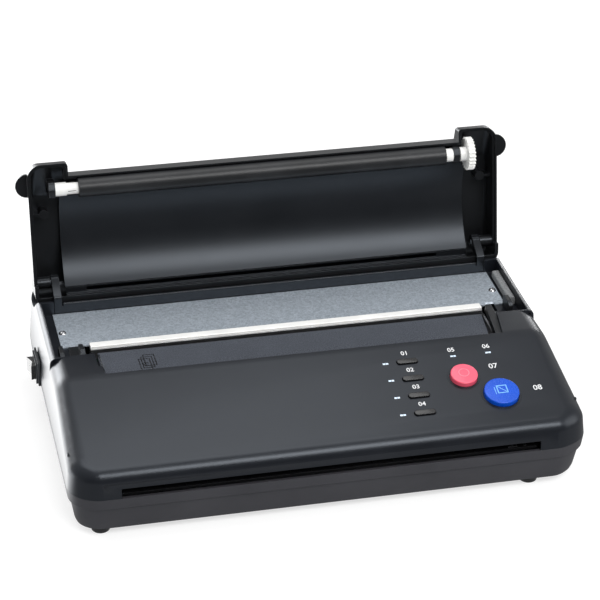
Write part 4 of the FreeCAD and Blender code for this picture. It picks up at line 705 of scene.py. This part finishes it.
class Maker:
    """Turns a bmesh into a finished piece."""

    @staticmethod
    def piece(form: bmesh.types.BMesh, name: str, skin: bpy.types.Material,
              crease: float = 30.0) -> bpy.types.Object:
        """Turns a bmesh into an object with smooth curves and crisp creases.

        Args:
            form: the mesh under construction, which is freed.
            name: the piece's name.
            skin: its material.
            crease: the angle from which an edge stays crisp, in degrees.

        Returns:
            The object.
        """
        for face in form.faces:
            face.smooth = True
        limit = math.radians(crease)
        for edge in form.edges:
            edge.smooth = edge.is_manifold and edge.calc_face_angle() < limit
        mesh = bpy.data.meshes.new(name)
        form.to_mesh(mesh)
        form.free()
        mesh.materials.append(skin)
        made = bpy.data.objects.new(name, mesh)
        bpy.context.scene.collection.objects.link(made)
        return made


@dataclass
class Dresser:
    """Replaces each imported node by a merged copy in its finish, with smooth curves and crisp creases."""

    merge: float = 0.001
    flat: float = 0.6
    crease: float = 28.0
    flared: tuple[str, ...] = ("upper_housing", "base_tray")
    flare_front: float = 25.0
    flare_rear: float = 165.0
    flare_inner: float = 189.5
    flare_outer: float = 202.5
    flare_right: float = 4.8
    flare_left: float = 1.6

    def slots(self) -> dict[str, str]:
        """The record's slot of each node."""
        return {row["node"]: row["material_slot"] for row in frame["record"]["subparts"]}

    def body(self, node: str) -> str:
        """The body that a node rides on."""
        return frame["nodes"][node]["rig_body"]

    def flare(self, form: bmesh.types.BMesh) -> None:
        """Lets the housing's sides spread a little towards the front, outside of its feet and screws.

        Args:
            form: the housing's mesh.
        """
        front, rear = at(0.0, self.flare_front, 0.0).y, at(0.0, self.flare_rear, 0.0).y
        inner, outer = self.flare_inner * MM, self.flare_outer * MM
        for point in form.verts:
            along = min(1.0, max(0.0, (rear - point.co.y) / (rear - front)))
            across = min(1.0, max(0.0, (abs(point.co.x) - inner) / (outer - inner)))
            spread = self.flare_right if point.co.x > 0 else -self.flare_left
            point.co.x += spread * MM * along * across

    def dress(self, node: str, finish: Finish) -> None:
        """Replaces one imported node.

        Args:
            node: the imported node.
            finish: its finish.
        """
        form = bmesh.new()
        form.from_mesh(frame["nodes"][node].data)
        bmesh.ops.remove_doubles(form, verts=form.verts, dist=self.merge * MM)
        if node in self.flared:
            self.flare(form)
        bmesh.ops.dissolve_limit(form, angle_limit=math.radians(self.flat), verts=form.verts,
                                 edges=form.edges, delimit=set())
        piece = Maker.piece(form, node + "_dressed", material(finish), self.crease)
        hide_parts(node)
        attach(piece, self.body(node))
        LOG.info("dressed %s", node)

    def build(self) -> None:
        """Dresses every node of the record."""
        for node, slot in self.slots().items():
            self.dress(node, NODE_FINISH.get(node, SLOT_FINISH[slot]))


class Seat:
    """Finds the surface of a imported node, so that a fine piece sits on what carries it."""

    trees: dict[str, BVHTree] = {}

    @classmethod
    def on(cls, node: str, start: Vector, way: Vector) -> tuple[Vector, Vector]:
        """Meets a node with a straight line.

        Args:
            node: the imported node.
            start: where the line starts, in metres.
            way: its direction.

        Returns:
            The place where it meets the node, and the surface's normal there.
        """
        if node not in cls.trees:
            mesh = frame["nodes"][node].data
            cls.trees[node] = BVHTree.FromPolygons([point.co for point in mesh.vertices],
                                                   [face.vertices for face in mesh.polygons])
        place, normal, _, _ = cls.trees[node].ray_cast(start, way.normalized())
        if place is None:
            raise ValueError(f"nothing of {node} lies on the line")
        return place, normal if normal.dot(way) < 0 else -normal

    @classmethod
    def plane(cls, node: str, start: Vector, way: Vector, along: Vector, lift: float) -> Matrix:
        """A flat piece's place on a node.

        Args:
            node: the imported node.
            start: where the line that finds the place starts, in metres.
            way: the line's direction.
            along: the piece's own x direction.
            lift: its height over the surface.

        Returns:
            The matrix that takes the piece from the ground plane to the surface.
        """
        place, normal = cls.on(node, start, way)
        side = (along - normal * along.dot(normal)).normalized()
        turned = Matrix((side, normal.cross(side), normal)).transposed().to_4x4()
        turned.translation = place + normal * lift * MM
        return turned


@dataclass
class FlatMark:
    """Thin printed or engraved figures, built flat and then laid on a surface."""

    thick: float = 0.05
    lift: float = 0.01
    ring_sides: int = 40
    figure_share: float = 0.73
    figure_weight: float = 0.14
    figure_steps: int = 4
    merge: float = 0.001

    @staticmethod
    def _set(form: bmesh.types.BMesh, centre: Pair, turn: float, rise: float = 0.0) -> None:
        """Turns a figure in the plane, and moves it to its place there.

        Args:
            form: the figure, round the origin.
            centre: its centre.
            turn: its turn, in degrees.
            rise: its height over the plane.
        """
        turned = Matrix.Rotation(math.radians(turn), 3, "Z")
        bmesh.ops.rotate(form, cent=Vector(), matrix=turned, verts=form.verts)
        bmesh.ops.translate(form, vec=Vector((*centre, rise)) * MM, verts=form.verts)

    def _rim(self, form: bmesh.types.BMesh, line: float) -> None:
        """Keeps a line along a flat face's border, and gives it its thickness upwards.

        Args:
            form: the flat face.
            line: the line's width.
        """
        rims = bmesh.ops.inset_region(form, faces=form.faces[:], thickness=line * MM, use_boundary=True,
                                      use_even_offset=True)["faces"]
        inner = [face for face in form.faces if face not in rims]
        bmesh.ops.delete(form, geom=inner, context="FACES_ONLY")
        grown = bmesh.ops.extrude_face_region(form, geom=form.faces[:])["geom"]
        raised = [item for item in grown if isinstance(item, bmesh.types.BMVert)]
        bmesh.ops.translate(form, vec=Vector((0.0, 0.0, self.thick)) * MM, verts=raised)
        bmesh.ops.recalc_face_normals(form, faces=form.faces)
        self._order(form)

    @staticmethod
    def _order(form: bmesh.types.BMesh) -> None:
        """Sorts the faces by their middles, because an extrusion lists its side faces in any order.

        Args:
            form: the extruded mesh.
        """
        in_order = sorted(form.faces, key=lambda face: face.calc_center_median()[:])
        ranks = {face: rank for rank, face in enumerate(in_order)}
        form.faces.sort(key=ranks.get)
        form.faces.index_update()

    def slab(self, width: float, height: float, centre: Pair = (0.0, 0.0),
             turn: float = 0.0) -> bmesh.types.BMesh:
        """A thin bar.

        Args:
            width: its width.
            height: its height.
            centre: its centre.
            turn: its turn in the plane, in degrees.

        Returns:
            The bar's mesh.
        """
        form = bmesh.new()
        bmesh.ops.create_cube(form, size=1.0)
        bmesh.ops.scale(form, vec=Vector((width, height, self.thick)) * MM, verts=form.verts)
        self._set(form, centre, turn, self.thick / 2)
        return form

    def outline(self, width: float, height: float, line: float, centre: Pair) -> bmesh.types.BMesh:
        """A rectangle's outline.

        Args:
            width: its outer width.
            height: its outer height.
            line: the line's width.
            centre: its centre.

        Returns:
            The outline's mesh.
        """
        form = bmesh.new()
        bmesh.ops.create_grid(form, x_segments=1, y_segments=1, size=0.5)
        bmesh.ops.scale(form, vec=Vector((width, height, 1.0)) * MM, verts=form.verts)
        self._rim(form, line)
        self._set(form, centre, 0.0)
        return form

    def ring(self, radius: float, line: float) -> bmesh.types.BMesh:
        """A circle's outline.

        Args:
            radius: its outer radius.
            line: the line's width.

        Returns:
            The ring's mesh.
        """
        form = bmesh.new()
        bmesh.ops.create_circle(form, cap_ends=True, segments=self.ring_sides, radius=radius * MM)
        self._rim(form, line)
        return form

    def number(self, figures: str, height: float) -> bmesh.types.BMesh:
        """Plain figures.

        Args:
            figures: the figures.
            height: their height.

        Returns:
            The figures' mesh.
        """
        curve = bpy.data.curves.new("figures", "FONT")
        curve.body = figures
        curve.size = height * MM / self.figure_share
        curve.align_x = "CENTER"
        curve.align_y = "CENTER"
        curve.extrude = self.thick * MM / 2
        curve.offset = self.figure_weight * MM
        curve.resolution_u = self.figure_steps
        holder = bpy.data.objects.new("figures", curve)
        bpy.context.scene.collection.objects.link(holder)
        bpy.context.view_layer.update()
        mesh = bpy.data.meshes.new_from_object(holder.evaluated_get(bpy.context.evaluated_depsgraph_get()))
        form = bmesh.new()
        form.from_mesh(mesh)
        bpy.data.objects.remove(holder)
        bpy.data.curves.remove(curve)
        bpy.data.meshes.remove(mesh)
        bmesh.ops.remove_doubles(form, verts=form.verts, dist=self.merge * MM)
        bmesh.ops.translate(form, vec=Vector((0.0, 0.0, self.thick / 2)) * MM, verts=form.verts)
        return form

    @staticmethod
    def join(forms: list[bmesh.types.BMesh]) -> bmesh.types.BMesh:
        """Joins meshes into the first one and frees the rest.

        Args:
            forms: the meshes.

        Returns:
            The first one, with all of them in it.
        """
        first = forms[0]
        for form in forms[1:]:
            mesh = bpy.data.meshes.new("joined")
            form.to_mesh(mesh)
            form.free()
            first.from_mesh(mesh)
            bpy.data.meshes.remove(mesh)
        return first

    def lay(self, form: bmesh.types.BMesh, name: str, finish: Finish, slot: str, body: str,
            matrix: Matrix) -> None:
        """Lays a flat figure on its surface.

        Args:
            form: the figure, on the ground plane.
            name: the piece's name.
            finish: its finish.
            slot: the record's slot that it would belong to; not used.
            body: the body that it moves with.
            matrix: its place.
        """
        bmesh.ops.transform(form, matrix=matrix, verts=form.verts)
        piece = Maker.piece(form, name, material(finish))
        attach(piece, body)
        LOG.info("laid %s", name)


@dataclass
class Panel:
    """The sloping key panel's printed numbers, window ribs and engraved key tops."""

    over: float = 110.0
    small: float = 4.4
    large: float = 5.4
    keys: int = 4
    key_x: float = 78.3
    key_y: float = 85.0
    pitch: float = 18.4
    number_gap: float = 9.3
    window_x: float = 60.5
    status_y: float = 85.8
    status_x: Pair = (116.4, 145.5)
    status_gap: float = 6.8
    stop: Pair = (118.6, 62.4)
    copy: Pair = (143.2, 40.4)
    beside_stop: Pair = (145.3, 70.7)
    beside_copy: Pair = (174.0, 43.1)
    rib: Pair = (0.28, 2.0)
    line: float = 0.85
    fine_share: float = 0.7
    sheet: float = 8.6
    sheet_place: Pair = (0.6, 0.4)
    side_share: float = 0.9
    side_place_share: float = 0.62
    side_drop: float = 0.7
    slant_share: float = 1.05
    slant_turn: float = -45.0
    ring_share: float = 0.5
    ring_line_share: float = 0.6
    mark: FlatMark = field(default_factory=FlatMark)

    def seat(self, node: str, x: float, y: float) -> Matrix:
        """The place of a figure on the panel or on a key, below a point given across and from the front."""
        return Seat.plane(node, at(x, y, self.over), DOWN, ACROSS, self.mark.lift)

    def rows(self, x: float, rise: float = 0.0) -> list[Pair]:
        """The places in the key rows at one place across, each a rise further back than its key."""
        return [(x, self.key_y - self.pitch * row + rise) for row in range(self.keys)]

    def numbers(self) -> None:
        """Prints the plain numbers beside keys and windows."""
        spots = [(*spot, self.small) for spot in self.rows(self.key_x, self.number_gap)]
        spots += [(x, self.status_y + self.status_gap, self.small) for x in self.status_x]
        spots += [(*self.beside_stop, self.large), (*self.beside_copy, self.large)]
        for count, (x, y, height) in enumerate(spots, 1):
            self.mark.lay(self.mark.number(f"{count:02d}", height), f"panel_number_{count}", Finish.MARK,
                          "white_plastic", "root", self.seat("upper_housing", x, y))

    def ribs(self) -> None:
        """Lays a dark rib over the middle of each window."""
        spots = self.rows(self.window_x) + [(x, self.status_y) for x in self.status_x]
        for count, (x, y) in enumerate(spots, 1):
            self.mark.lay(self.mark.slab(*self.rib), f"window_rib_{count}", Finish.FITTING, "black_fitting",
                          "root", self.seat("indicator_windows", x, y))

    def engravings(self) -> None:
        """Engraves the sheet sign on the copy key and the ring on the stop key."""
        fine = self.line * self.fine_share
        side = (-self.sheet * self.side_place_share, -self.side_drop)
        forms = [self.mark.outline(self.sheet, self.sheet, self.line, self.sheet_place),
                 self.mark.slab(fine, self.sheet * self.side_share, side),
                 self.mark.slab(self.sheet * self.slant_share, fine, self.sheet_place, self.slant_turn)]
        self.mark.lay(FlatMark.join(forms), "copy_key_sign", Finish.BLUE_LIGHT, "key_blue", "copy",
                      self.seat("copy_key", *self.copy))
        ring = self.mark.ring(self.sheet * self.ring_share, self.line * self.ring_line_share)
        self.mark.lay(ring, "stop_key_sign", Finish.RED_LIGHT, "key_red", "stop",
                      self.seat("stop_key", *self.stop))

    def build(self) -> None:
        """Makes every figure of the panel."""
        self.numbers()
        self.ribs()
        self.engravings()


@dataclass
class GuideMark:
    """The dark sign of stacked sheets on the entry guide."""

    place: Pair = (-123.0, 128.0)
    size: Pair = (9.5, 19.0)
    step: Pair = (2.2, 3.2)
    line: float = 0.85
    bar_share: float = 0.55
    bar_gap: float = 2.4
    over: float = 90.0
    mark: FlatMark = field(default_factory=FlatMark)

    def build(self) -> None:
        """Lays the sign on the guide: three sheets, and three bars on the front one."""
        across, back = self.step
        wide = self.size[0] * self.bar_share
        sides = (-1, 0, 1)
        forms = [self.mark.outline(*self.size, self.line, (across * side, back * side)) for side in sides]
        forms += [self.mark.slab(wide, self.line, (-across, -back + self.bar_gap * side)) for side in sides]
        self.mark.lay(FlatMark.join(forms), "guide_sheet_sign", Finish.DARK_MARK, "black_fitting", "root",
                      Seat.plane("entry_guide", at(*self.place, self.over), DOWN, ACROSS, self.mark.lift))


@dataclass
class RockerMark:
    """The bar and the ring on the mains switch."""

    bar: Pair = (0.6, 3.0)
    ring: float = 1.5
    line: float = 0.5
    reach: float = 4.0
    mark: FlatMark = field(default_factory=FlatMark)

    def build(self) -> None:
        """Lays both signs on the rocker's two faces."""
        low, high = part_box("power_rocker")
        middle = (Vector(low) + Vector(high)) / 2
        signs = {"rocker_bar": (self.mark.slab(*self.bar), self.reach),
                 "rocker_ring": (self.mark.ring(self.ring, self.line), -self.reach)}
        for name, (form, offset) in signs.items():
            start = Vector((low[0] - RUN_UP * MM, middle.y + offset * MM, middle.z))
            self.mark.lay(form, name, Finish.MARK, "white_plastic", "rocker",
                          Seat.plane("power_rocker", start, ACROSS, INWARD, self.mark.lift))


@dataclass
class SlotTabs:
    """The two small grey tabs on the floor of the front slot, near its right end."""

    spots: tuple[Point, ...] = ((144.5, 9.0, 7.5), (154.5, 9.0, 2.2))
    depth: float = 2.4
    tall: float = 0.7
    edge: float = 0.2
    edge_steps: int = 2
    over: float = 45.0
    sink: float = 0.02

    def build(self) -> None:
        """Seats both tabs, each given by its place and width, on the slot's floor."""
        for count, (x, y, width) in enumerate(self.spots, 1):
            place, _ = Seat.on("paper_table", at(x, y, self.over), DOWN)
            form = bmesh.new()
            bmesh.ops.create_cube(form, size=1.0)
            bmesh.ops.scale(form, vec=Vector((width, self.depth, self.tall)) * MM, verts=form.verts)
            bmesh.ops.bevel(form, geom=form.edges[:], offset=self.edge * MM, offset_type="OFFSET",
                            affect="EDGES", segments=self.edge_steps, profile=0.5, material=-1)
            lift = Vector((0.0, 0.0, self.tall / 2 - self.sink)) * MM
            bmesh.ops.translate(form, vec=place + lift, verts=form.verts)
            piece = Maker.piece(form, f"slot_tab_{count}", material(Finish.FRAME))
            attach(piece, "root")
            LOG.info("seated slot_tab_%d", count)


@dataclass
class BushSlitShades:
    """Painted shade for the moulded slits along the platen's white bushes: a flat dark strip stands where
    each slit is.
    """

    spots: Pair = (-163.0, 162.0)
    slit: Pair = (6.5, 0.55)
    axis_z: float = 170.5
    mark: FlatMark = field(default_factory=FlatMark)

    def build(self) -> None:
        """Lays a flat dark strip of painted shade where the slit is, on the front of each bush."""
        low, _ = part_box("platen_bushes")
        for count, x in enumerate(self.spots, 1):
            start = Vector((at(x, 0.0, 0.0).x, low[1] - RUN_UP * MM, self.axis_z * MM))
            # painted shade: a thin black slab stands in for the dark inside of each slit
            self.mark.lay(self.mark.slab(*self.slit), f"bush_slit_shade_{count}", Finish.FITTING, "black_fitting",
                          "cover", Seat.plane("platen_bushes", start, INWARD, ACROSS, self.mark.lift))


@dataclass(frozen=True)
class Lamp:
    """A soft box: its place, aim, width and height in metres, and its power in watts."""

    name: str
    place: Point
    aim: Point
    size: Pair
    power: float

    def hang(self) -> None:
        """Hangs the soft box."""
        data = bpy.data.lights.new(self.name, "AREA")
        data.shape = "RECTANGLE"
        data.size, data.size_y = self.size
        data.energy = self.power
        made = bpy.data.objects.new(self.name, data)
        bpy.context.scene.collection.objects.link(made)
        made.location = Vector(self.place)
        made.rotation_euler = (Vector(self.aim) - Vector(self.place)).to_track_quat("-Z", "Y").to_euler()


@dataclass
class Studio:
    """Floor, sky, lamps and the camera of the photograph.

    The floor and the sky are white to the camera. Gloss sees another room: a floor that is dark at its
    far front and bright on the left, and a sky that grows brighter from front to rear. A fade says where
    it starts and ends, on the floor in metres, and the strengths there.
    """

    focal: float = 140.31
    sensor: float = 36.0
    near: float = 0.05
    far: float = 50.0
    eye: Point = (-378.61, -1431.19, 1052.04)
    ahead: Point = (0.20396, 0.83986, -0.50302)
    roll: float = 1.27
    floor_size: float = 6.0
    floor_shade: float = 0.75
    shadow_shade: float = 0.42
    floor_glow: float = 0.66
    sheen: Fade = (-1.1, -0.22, 0.02, 0.40)
    left_sheet: Fade = (-0.205, -0.24, 0.0, 4.2)
    left_start: Fade = (-0.13, -0.05, 0.0, 1.0)
    sky: Fade = (-0.9, 0.1, 0.05, 0.50)
    fill: float = 0.55
    lamps: tuple[Lamp, ...] = (
        Lamp("front_box", (0.34, -1.02, 1.25), (0.0, -0.1, 0.05), (1.2, 0.55), 15.0),
        Lamp("top_box", (-0.1, 0.35, 1.7), (0.0, 0.0, 0.05), (1.5, 0.9), 9.0),
        Lamp("left_rear_box", (-0.95, 1.5, 0.45), (-0.2, 0.0, 0.05), (0.9, 0.8), 22.0),
        Lamp("right_rear_box", (1.15, 1.75, 0.30), (0.18, 0.1, 0.07), (0.7, 0.35), 5.5),
        Lamp("right_box", (1.5, -0.5, 0.7), (0.0, 0.0, 0.08), (0.7, 0.9), 4.0),
    )

    def camera(self) -> None:
        """Places the camera where the photograph was taken from."""
        data = bpy.data.cameras.new("camera")
        data.lens = self.focal
        data.sensor_width = self.sensor
        data.clip_start = self.near
        data.clip_end = self.far
        made = bpy.data.objects.new("camera", data)
        bpy.context.scene.collection.objects.link(made)
        ahead = Vector(self.ahead).normalized()
        right = ahead.cross(UPWARD).normalized()
        up = right.cross(ahead)
        turn = math.radians(self.roll)
        side = right * math.cos(turn) + up * math.sin(turn)
        top = up * math.cos(turn) - right * math.sin(turn)
        stand = Matrix((side, top, -ahead)).transposed().to_4x4()
        stand.translation = at(*self.eye)
        made.matrix_world = stand
        bpy.context.scene.camera = made

    def paper(self) -> bpy.types.Material:
        """The floor's material, which keeps the object's shadow.

        Returns:
            The material.
        """
        made = bpy.data.materials.new("floor_paper")
        made.use_nodes = True
        tree = Tree(made.node_tree)
        plain, shadow = (tree.node("ShaderNodeBsdfDiffuse", {}, {"Color": (grey, grey, grey)})
                         for grey in (self.floor_shade, self.shadow_shade))
        glow = tree.node("ShaderNodeEmission", {}, {"Strength": self.floor_glow})
        seen = tree.node("ShaderNodeAddShader", {}, dict(enumerate((shadow, glow))))
        across, along = tree.axis("Object", "X"), tree.axis("Object", "Y")
        strength = along.fade(self.sheen) + across.fade(self.left_sheet) * along.fade(self.left_start)
        gloss = tree.node("ShaderNodeEmission", {}, {"Strength": strength})
        surface = tree.ray(Ray.GLOSS).between(tree.direct().between(plain, seen), gloss)
        tree.add("ShaderNodeOutputMaterial", {}, {"Surface": surface})
        return made

    def floor(self) -> None:
        """Lays the floor."""
        form = bmesh.new()
        bmesh.ops.create_grid(form, x_segments=1, y_segments=1, size=self.floor_size)
        floor = Maker.piece(form, "floor", self.paper())

    def world(self) -> None:
        """Sets the world: a plain fill, the sky for gloss and white for the camera. Colours stay plain."""
        world = bpy.data.worlds.new("world")
        world.use_nodes = True
        tree = Tree(world.node_tree)
        gloss = tree.ray(Ray.GLOSS).level(self.fill, tree.axis("Generated", "Y").fade(self.sky))
        strength = tree.direct().level(gloss, 1.0)
        back = tree.node("ShaderNodeBackground", {}, {"Color": WHITE, "Strength": strength})
        tree.add("ShaderNodeOutputWorld", {}, {"Surface": back})
        bpy.context.scene.world = world
        bpy.context.scene.view_settings.view_transform = "Standard"

    def build(self) -> None:
        """Sets up the camera, the floor, the lamps and the world."""
        self.camera()
        self.floor()
        for lamp in self.lamps:
            lamp.hang()
            LOG.info("hung %s", lamp.name)
        self.world()


def main() -> None:
    """Builds the studio, dresses the nodes and adds the fine pieces."""
    logging.basicConfig(level=logging.INFO, format="%(message)s")
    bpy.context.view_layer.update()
    for part in (Studio(), Dresser(), Panel(), GuideMark(), RockerMark(), SlotTabs(), BushSlitShades()):
        part.build()
        LOG.info("built %s", type(part).__name__)


if __name__ == "__main__":
    main()
